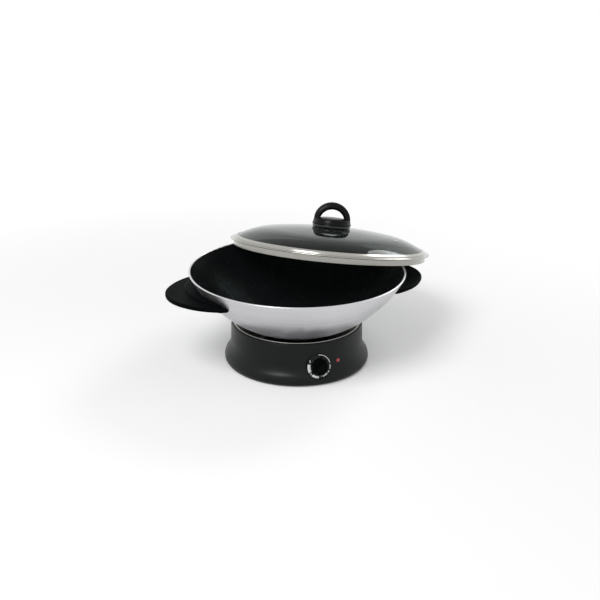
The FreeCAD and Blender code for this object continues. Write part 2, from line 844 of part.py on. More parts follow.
def make_handle():
    """The handle that points along +X: a flat wing on a thick root that hugs the bowl."""
    end_x, end_y = beside_bowl(wing_end_out, wing_end_angle)
    side_x, side_y = beside_bowl(wing_side_out, wing_side_angle)
    shoulder_x, shoulder_y = beside_bowl(wing_shoulder_out, wing_shoulder_angle)
    wing = Outline(flat_plane, end_x, -end_y)
    wing.arc(side_x, -side_y, shoulder_x, -shoulder_y)
    wing.arc(handle_seat_radius + wing_length, 0.0, shoulder_x, shoulder_y)
    wing.arc(side_x, side_y, end_x, end_y)
    plate = wing.face().extrude(UP * wing_thickness)
    plate.translate(UP * (wing_top - wing_thickness))
    rims = arcs_only(edges_at(plate, wing_top) + edges_at(plate, wing_top - wing_thickness))
    plate = plate.makeFillet(wing_round, rims)
    root_x, root_y = beside_bowl(root_end_out, root_end_angle)
    root = Outline(flat_plane, root_x, -root_y)
    root.arc(handle_seat_radius + root_length, 0.0, root_x, root_y)
    block = root.face().extrude(UP * (root_top - root_bottom))
    block.translate(UP * root_bottom)
    block = block.makeChamfer(root_bevel, arcs_only(edges_at(block, root_top) + edges_at(block, root_bottom)))
    hole_top = root_bottom - tab_thickness + handle_screw_length
    hole = rod(handle_screw_radius + running_gap, root_bottom - overshoot, hole_top, handle_screw_ring_radius)
    return plate.fuse(block).cut(bowl_clearance()).cut(hole)


def make_handle_bracket():
    """A steel strap on the bowl with a tab under the root of the handle."""
    near = wok_arc_radius + seat_gap
    far = near + tab_thickness
    low = tab_top - strap_height
    tab_under = tab_top - tab_thickness
    reach = handle_seat_radius + tab_length
    strap = Outline(radial_plane, bowl_radius_at(low, near), low)
    strap.line(bowl_radius_at(low, far), low)
    strap.about(0.0, bowl_centre_height, bowl_radius_at(tab_under, far), tab_under)
    strap.line(reach, tab_under)
    strap.line(reach, tab_top)
    strap.line(bowl_radius_at(tab_top, near), tab_top)
    strap.about(0.0, bowl_centre_height, bowl_radius_at(low, near), low)
    bracket = about_z(turned(strap, 2 * tab_half_angle), -tab_half_angle)
    hole_radius = handle_screw_radius + screw_gap
    hole = rod(hole_radius, tab_under - overshoot, tab_top + overshoot, handle_screw_ring_radius)
    return bracket.cut(hole)


def make_handle_screw():
    under = tab_top - tab_thickness - seat_gap
    head_bottom = under - handle_screw_head_height
    x = handle_screw_ring_radius
    head = rod(handle_screw_head_radius, head_bottom, under, x)
    head = head.makeFillet(handle_screw_round, edges_at(head, head_bottom))
    head = slotted(head, x, head_bottom, screw_slot_depth)
    shank_top = under + handle_screw_length - seat_gap
    return head.fuse(rod(handle_screw_radius, under - handle_screw_round, shank_top, x))


def glass_top(distance, inset=0.0):
    """Height of the dome over the band's seat, for the outside or an inset surface."""
    crown = lid_crown_radius - inset
    if distance <= crown * math.sin(shoulder_turn):
        return crown_centre_height + math.sqrt(crown ** 2 - distance ** 2)
    shoulder = lid_shoulder_radius - inset
    return shoulder_centre_height + math.sqrt(shoulder ** 2 - (distance - shoulder_centre_radius) ** 2)


def make_lid_glass():
    thickness = lid_glass_thickness
    hole = knob_hole_radius
    edge = glass_edge_radius
    under_edge = edge - glass_edge_bevel
    under_turn = (lid_crown_radius - thickness) * math.sin(shoulder_turn)
    shoulder_centre = (shoulder_centre_radius, shoulder_centre_height)
    dome = Outline(radial_plane, hole, glass_top(hole, thickness))
    dome.about(0.0, crown_centre_height, under_turn, glass_top(under_turn, thickness))
    dome.about(*shoulder_centre, under_edge, glass_top(under_edge, thickness))
    dome.line(edge, glass_top(edge) - thickness / 2)
    dome.line(edge, glass_top(edge))
    dome.about(*shoulder_centre, lid_shoulder_start, glass_top(lid_shoulder_start))
    dome.about(0.0, crown_centre_height, hole, glass_top(hole))
    vent_hole = rod(vent_barrel_radius + hole_gap, -2 * thickness, thickness)
    return turned(dome).cut(at_vent(vent_hole))


def make_lid_band():
    """A rolled steel band: a flange that sits on the rim, a skirt below it and a lip over the glass."""
    wall = lid_band_wall
    skirt = lid_skirt_radius
    glass = glass_edge_radius
    flange_top = lid_flange_thickness
    flange_start = lid_band_radius - flange_top / 2
    lip_inner = glass - band_lip_width
    lip_under = glass_top(glass) + seat_gap
    lip_rise = wall * 0.6
    ledge = glass_top(glass - band_ledge_width, lid_glass_thickness) - wall
    band = Outline(radial_plane, skirt - wall, -lid_skirt_depth)
    band.line(skirt, -lid_skirt_depth)
    band.line(skirt, 0.0)
    band.line(flange_start, 0.0)
    band.swell(flange_top / 2, flange_start, flange_top)
    band.line(skirt + wall, flange_top)
    band.quarter(skirt, flange_top + wall)
    band.line(skirt - band_shoulder, lip_under + lip_rise)
    band.line(glass - band_shoulder, lip_under + wall)
    band.line(lip_inner, glass_top(lip_inner) + seat_gap + lip_rise)
    band.line(lip_inner, glass_top(lip_inner) + seat_gap)
    band.line(glass, lip_under)
    band.line(glass + seat_gap, lip_under)
    band.line(glass + seat_gap, ledge)
    band.line(skirt - wall, ledge - wall)
    return turned(band)


def at_vent(shape):
    """Take a shape drawn at the origin to the steam vent, square to the glass."""
    step = vent_hole_radius
    drop = glass_top(vent_distance - step) - glass_top(vent_distance + step)
    copy = shape.copy()
    copy.rotate(CENTRE, Vector(0, 1, 0), math.degrees(math.atan2(drop, 2 * step)))
    copy.translate(Vector(vent_distance, 0, glass_top(vent_distance)))
    return about_z(copy, vent_angle)


def make_steam_vent():
    top = vent_gap + vent_flange
    under = -lid_glass_thickness - vent_gap
    bottom = under - vent_flange
    upper = rod(vent_eyelet_radius, vent_gap, top)
    upper = upper.makeFillet(vent_flange / 2, edges_at(upper, top))
    barrel = rod(vent_barrel_radius, bottom, top - vent_flange / 2)
    lower = rod(vent_eyelet_radius, bottom, under)
    bore = rod(vent_hole_radius, bottom - overshoot, top + overshoot)
    return at_vent(upper.fuse([barrel, lower]).cut(bore))


def make_lid_knob_base():
    bottom = glass_top(0.0) + seat_gap
    top = bottom + knob_base_height
    base = rod(knob_base_radius, bottom, top)
    base = base.makeFillet(knob_base_round, edges_at(base, top))
    return base.cut(rod(lid_screw_radius + screw_gap, bottom - overshoot, top + overshoot))


def make_lid_knob_loop():
    """A moulded half-round loop on a round foot, with a D-shaped finger opening."""
    bottom = glass_top(0.0) + knob_base_height + 2 * seat_gap
    centre = bottom + loop_centre_height
    floor = bottom + loop_web
    half = loop_depth / 2

    def upright(x, z):
        return Vector(x, half, z)

    arch = Outline(upright, -loop_radius, bottom)
    arch.line(loop_radius, bottom)
    arch.line(loop_radius, centre)
    arch.arc(0.0, centre + loop_radius, -loop_radius, centre)
    body = arch.face().extrude(Vector(0, -loop_depth, 0))
    body = body.makeChamfer(loop_edge, arcs_only(body.Edges))
    foot_top = floor - loop_foot_margin
    foot = rod(loop_radius, bottom, foot_top)
    foot = foot.makeFillet(loop_edge, edges_at(foot, foot_top))
    side = math.sqrt(loop_opening_radius ** 2 - (floor - centre) ** 2)

    def through(x, z):
        return Vector(x, loop_radius, z)

    opening = Outline(through, -side, floor)
    opening.line(side, floor)
    opening.arc(0.0, centre + loop_opening_radius, -side, floor)
    hole = opening.face().extrude(Vector(0, -2 * loop_radius, 0))
    loop = body.fuse(foot).cut(hole)
    loop = loop.cut(rod(lid_screw_radius + running_gap, bottom - overshoot, floor - lid_screw_end))
    return about_z(loop.removeSplitter(), loop_turn - lid_lean_direction)


def make_lid_knob_washer():
    top = glass_top(0.0, lid_glass_thickness) - washer_gap
    washer = rod(washer_radius, top - washer_height, top)
    return washer.cut(rod(lid_screw_radius + screw_gap, top - washer_height, top))


def make_lid_knob_screw():
    under = glass_top(0.0, lid_glass_thickness) - washer_gap - washer_height - seat_gap
    head_bottom = under - lid_screw_head_height
    head = rod(lid_screw_head_radius, head_bottom, under)
    head = head.makeFillet(lid_screw_round, edges_at(head, head_bottom))
    head = slotted(head, 0.0, head_bottom, lid_screw_slot_depth)
    return head.fuse(rod(lid_screw_radius, under - lid_screw_round, under + lid_screw_length))


def underside_of_lid(distance):
    """Lowest surface of the lid at a distance from its axis, or None beyond its edge."""
    if distance > lid_band_radius + rest_gap:
        return None
    if distance > lid_skirt_radius + rest_gap:
        return 0.0
    if distance > lid_skirt_radius - lid_band_wall - rest_gap:
        return -lid_skirt_depth
    if distance > glass_edge_radius - band_lip_width:
        return 0.0
    return glass_top(distance, lid_glass_thickness)


def lid_clears(origin_height, axis, rim_points):
    """Whether the leaning lid lies above every point of the rim."""
    origin = Vector(lid_shift_x, lid_shift_y, origin_height)
    for point in rim_points:
        offset = point - origin
        height = offset.dot(axis)
        distance = math.sqrt(max(offset.Length ** 2 - height ** 2, 0.0))
        surface = underside_of_lid(distance)
        if surface is not None and height > surface - rest_gap:
            return False
    return True


def lid_rest_height():
    """Height of the lid's origin when it comes down, leaning, on the rim of the wok."""
    lean = math.radians(lid_lean)
    way = math.radians(lid_lean_direction)
    axis = Vector(math.sin(lean) * math.cos(way), math.sin(lean) * math.sin(way), math.cos(lean))
    rim_inner = bowl_radius_at(wok_rim_height, wok_inner_arc) + wok_rim_round
    rim_outer = wok_rim_radius - wok_rim_round
    rim_points = []
    for radius in (rim_inner, (rim_inner + rim_outer) / 2, rim_outer):
        for step in range(720):
            angle = math.radians(step / 2)
            rim_points.append(Vector(radius * math.cos(angle), radius * math.sin(angle), wok_rim_height))
    low = wok_rim_height - lid_band_radius
    high = wok_rim_height + lid_band_radius
    while high - low > 0.001:
        middle = (low + high) / 2
        if lid_clears(middle, axis, rim_points):
            high = middle
        else:
            low = middle
    return high


lid_origin = Vector(lid_shift_x, lid_shift_y, lid_rest_height())


def on_wok(shape):
    """Take a piece of the lid from the lid's own frame to where it leans on the wok."""
    copy = shape.copy()
    copy.rotate(CENTRE, Vector(0, 1, 0), lid_lean)
    copy.rotate(CENTRE, UP, lid_lean_direction)
    copy.translate(lid_origin)
    return copy


def save(name, shape):
    if not shape.isValid():
        raise ValueError("not a valid solid: " + name)
    solids = shape.Solids
    result = solids[0] if len(solids) == 1 else Part.makeCompound(solids)
    result.exportStep(os.path.join("parts", name + ".step"))
    print(name, len(solids), "solids", round(shape.Volume / 1000.0, 2), "cm3")


def save_base():
    save("base_shell", make_base_shell())
    save("bottom_cover", make_bottom_cover())
    save("rubber_feet", make_rubber_feet())
    save("cover_screws", make_cover_screws())
    save("thermostat_body", make_thermostat_body())
    save("thermostat_nut", make_thermostat_nut())
    save("thermostat_spindle", make_thermostat_spindle())
    save("control_knob", make_control_knob())
    save("pilot_lens", make_pilot_lens())
    save("pilot_lamp", make_pilot_lamp())
    save("cord_gland", make_cord_gland())
    save("terminal_block", make_terminal_block())
    save("thermal_fuse", make_thermal_fuse())
    save("fuse_clip", make_fuse_clip())
    save("heat_reflector", make_heat_reflector())
    save("heating_element", make_heating_element())
    save("element_brackets", make_element_brackets())
    save("element_bushings", make_element_bushings())


def save_wok():
    save("wok_bowl", make_wok_bowl())
    handle = make_handle()
    bracket = make_handle_bracket()
    screw = make_handle_screw()
    for side, turn in (("right", 0.0), ("left", 180.0)):
        save("handle_" + side, about_z(handle, turn))
        save("handle_bracket_" + side, about_z(bracket, turn))
    save("handle_screws", Part.makeCompound([screw, about_z(screw, 180.0)]))


def save_lid():
    save("lid_glass", on_wok(make_lid_glass()))
    save("lid_band", on_wok(make_lid_band()))
    save("steam_vent", on_wok(make_steam_vent()))
    save("lid_knob_base", on_wok(make_lid_knob_base()))
    save("lid_knob_loop", on_wok(make_lid_knob_loop()))
    save("lid_knob_washer", on_wok(make_lid_knob_washer()))
    save("lid_knob_screw", on_wok(make_lid_knob_screw()))


os.makedirs("parts", exist_ok=True)
save_base()
save_wok()
save_lid()
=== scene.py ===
"""Electric wok: a black heating base, a spun aluminium wok and a smoked glass lid that leans on its rim.

Lengths are in metres with +Z up. The control knob faces -Y and the wok's handles point along -X and +X.
"""

import math

import bmesh
import bpy
from mathutils import Matrix, Vector


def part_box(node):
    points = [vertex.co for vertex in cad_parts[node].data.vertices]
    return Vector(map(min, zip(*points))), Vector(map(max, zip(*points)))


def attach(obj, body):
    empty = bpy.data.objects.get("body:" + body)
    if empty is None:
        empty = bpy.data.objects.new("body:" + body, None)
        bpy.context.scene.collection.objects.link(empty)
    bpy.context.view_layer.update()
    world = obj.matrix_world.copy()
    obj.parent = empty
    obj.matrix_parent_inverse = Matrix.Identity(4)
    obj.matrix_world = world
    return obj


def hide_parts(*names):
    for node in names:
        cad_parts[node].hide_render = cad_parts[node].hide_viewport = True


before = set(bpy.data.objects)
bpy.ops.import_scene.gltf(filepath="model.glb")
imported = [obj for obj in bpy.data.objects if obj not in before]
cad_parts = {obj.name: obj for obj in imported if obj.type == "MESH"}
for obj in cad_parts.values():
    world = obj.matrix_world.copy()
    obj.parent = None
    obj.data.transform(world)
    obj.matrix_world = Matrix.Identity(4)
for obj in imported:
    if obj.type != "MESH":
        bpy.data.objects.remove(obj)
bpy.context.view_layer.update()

bl_info = {
    "name": "Electric Wok",
    "version": (1, 0, 0),
    "blender": (4, 5, 0),
    "location": "3D View > Sidebar > Wok",
    "description": "Builds the visible pieces of an electric wok round its packed frame",
    "category": "Object",
}

MM = 0.001
bowl_low, bowl_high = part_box("wok_bowl")
shell_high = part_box("base_shell")[1]
band_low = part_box("lid_band")[0]

# The lid's own frame: the origin is the middle of the band's seat, and +Z is the lid's axis
lid_lean = math.radians(12.3)
lid_lean_direction = math.radians(49.7)
lid_skirt_radius = 171.5 * MM
lid_skirt_depth = 10.0 * MM
lid_skirt_drop = lid_skirt_depth * math.cos(lid_lean) + lid_skirt_radius * math.sin(lid_lean)
lid_origin = Vector((97.0 * MM, 110.0 * MM, band_low.z + lid_skirt_drop))


def turn(degrees, axis):
    return Matrix.Rotation(math.radians(degrees), 4, axis)


def move(x, y, z):
    return Matrix.Translation((x, y, z))


on_lid = (
    Matrix.Translation(lid_origin)
    @ Matrix.Rotation(lid_lean_direction, 4, "Z")
    @ Matrix.Rotation(lid_lean, 4, "Y")
)
on_dial = move(0, -115.1 * MM, 32.0 * MM) @ turn(80.0, "X")
at_pilot = turn(18.4, "Z") @ move(0, -111.5 * MM, 34.5 * MM) @ turn(90.0, "X")
at_gland = turn(180.0, "Z") @ move(0, -121.5 * MM, 19.0 * MM) @ turn(90.0, "X")


def size(name, millimetres, description):
    """A length that a user may change."""
    return bpy.props.FloatProperty(
        name=name, description=description, default=millimetres * MM, unit="LENGTH", precision=4
    )


def colour(name, red, green, blue, description):
    return bpy.props.FloatVectorProperty(
        name=name, description=description, default=(red, green, blue), subtype="COLOR", min=0.0, max=1.0
    )


def share(name, value, description):
    return bpy.props.FloatProperty(
        name=name, description=description, default=value, min=0.0, max=1.0, subtype="FACTOR"
    )


class BaseSizes(bpy.types.PropertyGroup):
    """The moulded housing of the base and what its top holds."""

    height: size("Height", shell_high.z / MM, "Top of the lip")
    rim_radius: size("Rim radius", 110.6, "Outside of the wall under the lip")
    waist_radius: size("Waist radius", 111.5, "Outside of the wall where the flare starts")
    waist_height: size("Waist height", 35.0, "Height where the flare starts")
    turn_radius: size("Turn radius", 117.8, "Outside of the flare where it turns from hollow to round")
    turn_height: size("Turn height", 20.0, "Height of that turn")
    flare_radius: size("Flare radius", 122.3, "Widest part of the foot")
    flare_height: size("Flare height", 8.5, "Height of the widest part")
    foot_radius: size("Foot radius", 120.0, "Outside of the bottom edge")
    bottom: size("Bottom", 2.0, "Height of the bottom edge over the table")
    bore_radius: size("Bore radius", 118.5, "Inside of the bottom edge, round the cover")
    wall: size("Wall", 3.0, "Thickness of the housing")
    lip_width: size("Lip width", 5.0, "Width of the rounded lip")
    lip_drop: size("Lip drop", 7.0, "Depth of the lip's inner edge")
    pad_radius: size("Dial pad radius", 20.5, "Flat face that the knob stands on")
    pad_depth: size("Dial pad depth", 8.0, "Thickness of the dial pad")
    gland_pad_radius: size("Cord pad radius", 11.0, "Flat face round the cord outlet")
    gland_pad_depth: size("Cord pad depth", 12.0, "Thickness of the cord pad")
    dish_floor: size("Dish floor", 41.0, "Top of the reflector's floor")
    dish_floor_radius: size("Dish floor radius", 66.0, "Radius of the reflector's floor")
    ring_radius: size("Element ring radius", 52.0, "Middle of the heating tube's ring")
    ring_height: size("Element height", 52.45, "Middle of the heating tube over the table")
    tube_radius: size("Element tube radius", 4.25, "Outside of the heating tube")
    foot_ring: size("Feet ring radius", 104.0, "Distance of the rubber feet from the middle")


class BowlSizes(bpy.types.PropertyGroup):
    """The round-bottomed wok."""

    rim_radius: size("Rim radius", bowl_high.x / MM, "Outside of the rim")
    rim_height: size("Rim height", bowl_high.z / MM, "Top of the rim over the table")
    bottom: size("Bottom", bowl_low.z / MM, "Flat underside over the table")
    arc_radius: size("Arc radius", 201.0, "Round outside of the bowl")
    wall: size("Wall", 3.0, "Thickness of the wall")
    floor: size("Floor", 4.5, "Thickness of the floor")
    coating: size("Coating", 0.25, "Thickness of the non-stick lining")
    rim_round: size("Rim round", 0.8, "Rounding of the rim's two edges")


class HandleSizes(bpy.types.PropertyGroup):
    """The two winged handles beside the bowl."""

    top: size("Top", 136.0, "Top of the wing over the table")
    thickness: size("Thickness", 7.0, "Thickness of the wing")
    wing_round: size("Edge round", 2.4, "Rounding of the wing's edges")
    length: size("Length", 53.9, "From the bowl to the tip")
    root_rise: size("Root rise", 4.5, "How far the root stands over the wing")
    root_depth: size("Root depth", 11.0, "How far the root reaches below the wing's top")
    root_bevel: size("Root bevel", 3.0, "Bevel along the root")


class LidSizes(bpy.types.PropertyGroup):
    """The glass dome and its rolled steel band, in the lid's own frame."""

    band_radius: size("Band radius", 178.0, "Outside of the band")
    flange: size("Flange thickness", 2.2, "Thickness of the band's flange")
    band_wall: size("Band wall", 1.0, "Thickness of the rolled sheet")
    glass_radius: size("Glass radius", 170.0, "Edge of the glass")
    thickness: size("Glass thickness", 4.0, "Thickness of the glass")
    height: size("Height", 34.0, "Top of the dome over the band's seat")
    crown_radius: size("Crown radius", 800.0, "Curve of the dome's middle")
    shoulder_start: size("Shoulder start", 110.0, "Distance from the axis where the dome starts to fall")
    shoulder_radius: size("Shoulder radius", 150.0, "Curve of the dome's shoulder")
    lip_width: size("Lip width", 4.5, "How far the band laps over the glass")
    vent_distance: size("Vent distance", 124.0, "Distance of the steam vent from the axis")


class KnobSizes(bpy.types.PropertyGroup):
    """The arch-shaped grip of the lid and the disc under it."""

    disc_radius: size("Disc radius", 34.0, "Glossy disc under the grip")
    disc_height: size("Disc height", 5.0, "Thickness of the disc")
    foot_radius: size("Foot radius", 35.0, "Round foot of the arch")
    arch_radius: size("Arch radius", 32.4, "Half width of the arch over its foot")
    arch_height: size("Arch height", 39.0, "Top of the arch over the disc")
    opening_radius: size("Opening radius", 22.4, "Rounding of the finger opening")
    opening_centre: size("Opening centre", 4.0, "Centre of the opening's round over the disc")
    floor: size("Opening floor", 12.0, "Floor of the opening over the disc")
    depth: size("Depth", 22.0, "Thickness of the arch from front to back")


class DialSizes(bpy.types.PropertyGroup):
    """The control knob and the marks round it."""

    knob_radius: size("Knob radius", 13.8, "Skirt of the knob")
    knob_height: size("Knob height", 15.5, "Height of the knob")
    skirt_height: size("Skirt height", 5.5, "Height of the knob's skirt")
    grip_width: size("Grip width", 9.0, "Width of the bar that fingers hold")
    gap: size("Gap", 0.6, "Gap under the skirt")
    mark_radius: size("Mark radius", 19.4, "Outside of the printed marks")
    print_height: size("Print height", 0.08, "Thickness of the printed marks")
    numeral: size("Numeral height", 4.8, "Height of the printed numbers")
    lens_radius: size("Lamp radius", 3.5, "Radius of the pilot lamp's window")
    lens_dome: size("Lamp dome", 1.4, "How far the window curves out")


class FinishColours(bpy.types.PropertyGroup):
    """Colours of the finishes, as linear values."""

    housing: colour("Housing", 0.0030, 0.0040, 0.0042, "Moulded plastic of the base")
    handle: colour("Handles", 0.0022, 0.0028, 0.0030, "Moulded plastic of the handles and the lid's grip")
    coating: colour("Lining", 0.0060, 0.0062, 0.0070, "Non-stick lining of the wok")
    aluminium: colour("Aluminium", 0.64, 0.64, 0.66, "Spun outside of the wok")
    steel: colour("Steel", 0.55, 0.545, 0.50, "Band, vent and reflector")
    glass: colour("Glass", 0.12, 0.15, 0.14, "Smoked glass")
    lamp: colour("Lamp", 0.30, 0.008, 0.012, "Red window of the pilot lamp")
    marks: colour("Marks", 0.86, 0.88, 0.87, "Printed marks round the knob")
    rubber: colour("Rubber", 0.018, 0.018, 0.018, "Feet and cord outlet")


class StageSettings(bpy.types.PropertyGroup):
    """Camera, floor and studio light."""

    azimuth: bpy.props.FloatProperty(
        name="Azimuth", description="Camera's turn to the left of the knob's side",
        default=math.radians(-18.5), unit="ROTATION",
    )
    elevation: bpy.props.FloatProperty(
        name="Elevation", description="Camera's height over the horizon",
        default=math.radians(21.0), unit="ROTATION",
    )
    roll: bpy.props.FloatProperty(
        name="Roll", description="Camera's lean", default=math.radians(0.6), unit="ROTATION",
    )
    distance: size("Distance", 1500.0, "From the camera to the middle of the wok")
    focal_length: bpy.props.FloatProperty(
        name="Focal length", description="Lens in millimetres on a 36 mm sensor",
        default=53.64, unit="CAMERA",
    )
    fill: share("Fill light", 0.30, "Strength of the even light from the room")
    floor_shade: share("Floor", 0.90, "Lightness of the floor")


def settings(name):
    return getattr(bpy.context.scene, name)


# Outlines and meshes

class Outline:
    """A closed outline of straight lines and arcs, drawn anticlockwise, as points."""

    def __init__(self, a, b):
        self.points = [Vector((a, b))]

    def line(self, a, b):
        self.points.append(Vector((a, b)))
        return self

    def about(self, centre_a, centre_b, a, b, steps=8):
        """The shorter arc round a centre."""
        centre = Vector((centre_a, centre_b))
        start = self.points[-1] - centre
        end = Vector((a, b)) - centre
        sweep = math.atan2(start.cross(end), start.dot(end))
        for k in range(1, steps + 1):
            self.points.append(centre + Matrix.Rotation(sweep * k / steps, 2) @ start)
        return self

    def swell(self, height, a, b, steps=8):
        """An arc that stands out from its chord by a height, or is hollow where that is negative."""
        start = self.points[-1]
        end = Vector((a, b))
        chord = end - start
        radius = (chord.length_squared / 4 + height ** 2) / (2 * height)
        out = Vector((chord.y, -chord.x)).normalized()
        centre = (start + end) / 2 + out * (height - radius)
        return self.about(centre.x, centre.y, a, b, steps)

    def quarter(self, a, b, steps=5):
        """A quarter of a circle, rounding a corner."""
        chord = (Vector((a, b)) - self.points[-1]).length
        return self.swell(chord * math.tan(math.radians(22.5)) / 2, a, b, steps)


def arc_through(start, middle, end, steps):
    """Points of the arc from one point through another to a third, without the first."""
    chord = end - start
    middle_offset = middle - (start + end) / 2
    out = Vector((chord.y, -chord.x)).normalized()
    return Outline(*start).swell(middle_offset.dot(out), end.x, end.y, steps).points[1:]


def mesh_from(bm, name):
    mesh = bpy.data.meshes.new(name)
    bm.to_mesh(mesh)
    bm.free()
    return mesh


def skin(name, rings):
    """A closed skin over rings of points, with a flat face at each end."""
    bm = bmesh.new()
    rows = [[bm.verts.new(point) for point in ring] for ring in rings]
    for low, high in zip(rows, rows[1:]):
        for k in range(len(low)):
            after = (k + 1) % len(low)
            bm.faces.new((low[k], low[after], high[after], high[k]))
    bm.faces.new(list(reversed(rows[0])))
    bm.faces.new(rows[-1])
    bmesh.ops.recalc_face_normals(bm, faces=bm.faces)
    return mesh_from(bm, name)


def joined(name, meshes):
    bm = bmesh.new()
    for mesh in meshes:
        bm.from_mesh(mesh)
    return mesh_from(bm, name)


def placed(mesh, place):
    mesh.transform(place)
    return mesh


def carrier(name, mesh):
    """An object that only carries a mesh through modifiers."""
    obj = bpy.data.objects.new(name + "_blank", mesh)
    bpy.context.scene.collection.objects.link(obj)
    return obj


def baked(obj):
    """The object's mesh with its modifiers applied. The object is deleted."""
    graph = bpy.context.evaluated_depsgraph_get()
    mesh = bpy.data.meshes.new_from_object(obj.evaluated_get(graph), depsgraph=graph)
    obj.modifiers.clear()
    bpy.data.objects.remove(obj)
    return mesh


def combined(mesh, tool, operation):
    """A mesh with another united with it or cut out of it."""
    body = carrier("body", mesh)
    other = carrier("tool", tool)
    modifier = body.modifiers.new("Combine", "BOOLEAN")
    modifier.operation = operation
    modifier.solver = "EXACT"
    modifier.object = other
    result = baked(body)
    bpy.data.objects.remove(other)
    return result


def moulded(name, meshes, grain, rounds):
    """One skin round overlapping solids, with the soft corners of a moulding."""
    obj = carrier(name, joined(name, meshes))
    remesh = obj.modifiers.new("Mould", "REMESH")
    remesh.mode = "VOXEL"
    remesh.voxel_size = grain
    smooth = obj.modifiers.new("Soften", "SMOOTH")
    smooth.factor = 0.5
    smooth.iterations = rounds
    return baked(obj)


# Geometry trees

def node(tree, kind, wires=None, **attributes):
    """A new node, with its attributes set and its inputs wired or given a value."""
    made = tree.nodes.new(kind)
    for name, value in attributes.items():
        setattr(made, name, value)
    for name, value in (wires or {}).items():
        if isinstance(value, bpy.types.NodeSocket):
            tree.links.new(value, made.inputs[name])
        else:
            made.inputs[name].default_value = value
    return made


def maths(tree, operation, *values):
    return node(tree, "ShaderNodeMath", dict(enumerate(values)), operation=operation).outputs[0]


def noise(tree, vector, scale, detail, distortion=0.0):
    return node(tree, "ShaderNodeTexNoise", {
        "Vector": vector, "Scale": scale, "Detail": detail, "Distortion": distortion,
    }).outputs[0]


def geometry_tree(name, inputs, make):
    """A node tree that turns one mesh into another and gives it its material."""
    tree = bpy.data.node_groups.get(name)
    if tree:
        return tree
    tree = bpy.data.node_groups.new(name, "GeometryNodeTree")
    tree.is_modifier = True
    tree.interface.new_socket("Geometry", in_out="INPUT", socket_type="NodeSocketGeometry")
    for title, kind in {**inputs, "Finish": "NodeSocketMaterial"}.items():
        tree.interface.new_socket(title, in_out="INPUT", socket_type=kind)
    tree.interface.new_socket("Geometry", in_out="OUTPUT", socket_type="NodeSocketGeometry")
    given = node(tree, "NodeGroupInput").outputs
    shape = make(tree, given)
    real = node(tree, "GeometryNodeRealizeInstances", {"Geometry": shape})
    final = node(tree, "GeometryNodeSetMaterial", {
        "Geometry": real.outputs[0], "Material": given["Finish"],
    })
    node(tree, "NodeGroupOutput", {"Geometry": final.outputs[0]})
    return tree


def turned_tree():
    """Turns the edges of a profile, drawn as radius and height, round the Z axis."""
    hub = 1.0 * MM

    def make(tree, given):
        profile = node(tree, "GeometryNodeMeshToCurve", {"Mesh": given["Geometry"]})
        shifted = node(tree, "GeometryNodeTransform", {
            "Geometry": profile.outputs["Curve"], "Translation": (-hub, 0, 0), "Scale": (1, -1, 1),
        })
        circle = node(tree, "GeometryNodeCurvePrimitiveCircle", {
            "Resolution": given["Segments"], "Radius": hub,
        })
        upright = node(tree, "GeometryNodeSetCurveNormal", {"Curve": circle.outputs["Curve"]}, mode="Z_UP")
        sweep = node(tree, "GeometryNodeCurveToMesh", {
            "Curve": upright.outputs["Curve"], "Profile Curve": shifted.outputs["Geometry"],
        })
        return node(tree, "GeometryNodeFlipFaces", {"Mesh": sweep.outputs["Mesh"]}).outputs["Mesh"]

    return geometry_tree("Turned piece", {"Segments": "NodeSocketInt"}, make)


def ring_tree():
    """Sets copies of a mesh at equal angles round the Z axis."""
    def make(tree, given):
        points = node(tree, "GeometryNodePoints", {"Count": given["Count"]})
        index = node(tree, "GeometryNodeInputIndex").outputs[0]
        part = maths(tree, "DIVIDE", math.tau, given["Count"])
        angle = maths(tree, "MULTIPLY_ADD", index, part, given["First Angle"])
        spin = node(tree, "ShaderNodeCombineXYZ", {"Z": angle})
        return node(tree, "GeometryNodeInstanceOnPoints", {
            "Points": points.outputs[0], "Instance": given["Geometry"], "Rotation": spin.outputs[0],
        }).outputs["Instances"]

    inputs = {"Count": "NodeSocketInt", "First Angle": "NodeSocketFloat"}
    return geometry_tree("Ring of copies", inputs, make)


def tube_tree():
    """Draws a round tube along the edges of a path."""
    def make(tree, given):
        path = node(tree, "GeometryNodeMeshToCurve", {"Mesh": given["Geometry"]})
        section = node(tree, "GeometryNodeCurvePrimitiveCircle", {
            "Resolution": given["Segments"], "Radius": given["Radius"],
        })
        return node(tree, "GeometryNodeCurveToMesh", {
            "Curve": path.outputs["Curve"], "Profile Curve": section.outputs["Curve"], "Fill Caps": True,
        }).outputs["Mesh"]

    inputs = {"Segments": "NodeSocketInt", "Radius": "NodeSocketFloat"}
    return geometry_tree("Tube along a path", inputs, make)


def grown(name, mesh, tree, finish, values):
    """A plain mesh, grown from another by a node tree."""
    obj = carrier(name, mesh)
    modifier = obj.modifiers.new(tree.name, "NODES")
    modifier.node_group = tree
    values = {**values, "Finish": finish}
    for socket in tree.interface.items_tree:
        if socket.item_type == "SOCKET" and socket.in_out == "INPUT" and socket.name in values:
            modifier[socket.identifier] = values[socket.name]
    return baked(obj)


def line_mesh(name, points, closed):
    mesh = bpy.data.meshes.new(name)
    edges = [(k, k + 1) for k in range(len(points) - 1)]
    if closed:
        edges.append((len(points) - 1, 0))
    mesh.from_pydata([Vector(point).to_3d() for point in points], edges, [])
    return mesh


def turned(name, outline, segments):
    """A closed solid, turned round the Z axis."""
    profile = line_mesh(name, outline.points, True)
    mesh = grown(name, profile, turned_tree(), None, {"Segments": segments})
    bm = bmesh.new()
    bm.from_mesh(mesh)
    tidy(bm)
    return mesh_from(bm, name)


def disc(radius, bottom, top):
    """A plain round tool for cutting and joining."""
    outline = Outline(0, bottom).line(radius, bottom).line(radius, top).line(0, top)
    return turned("disc", outline, 64)


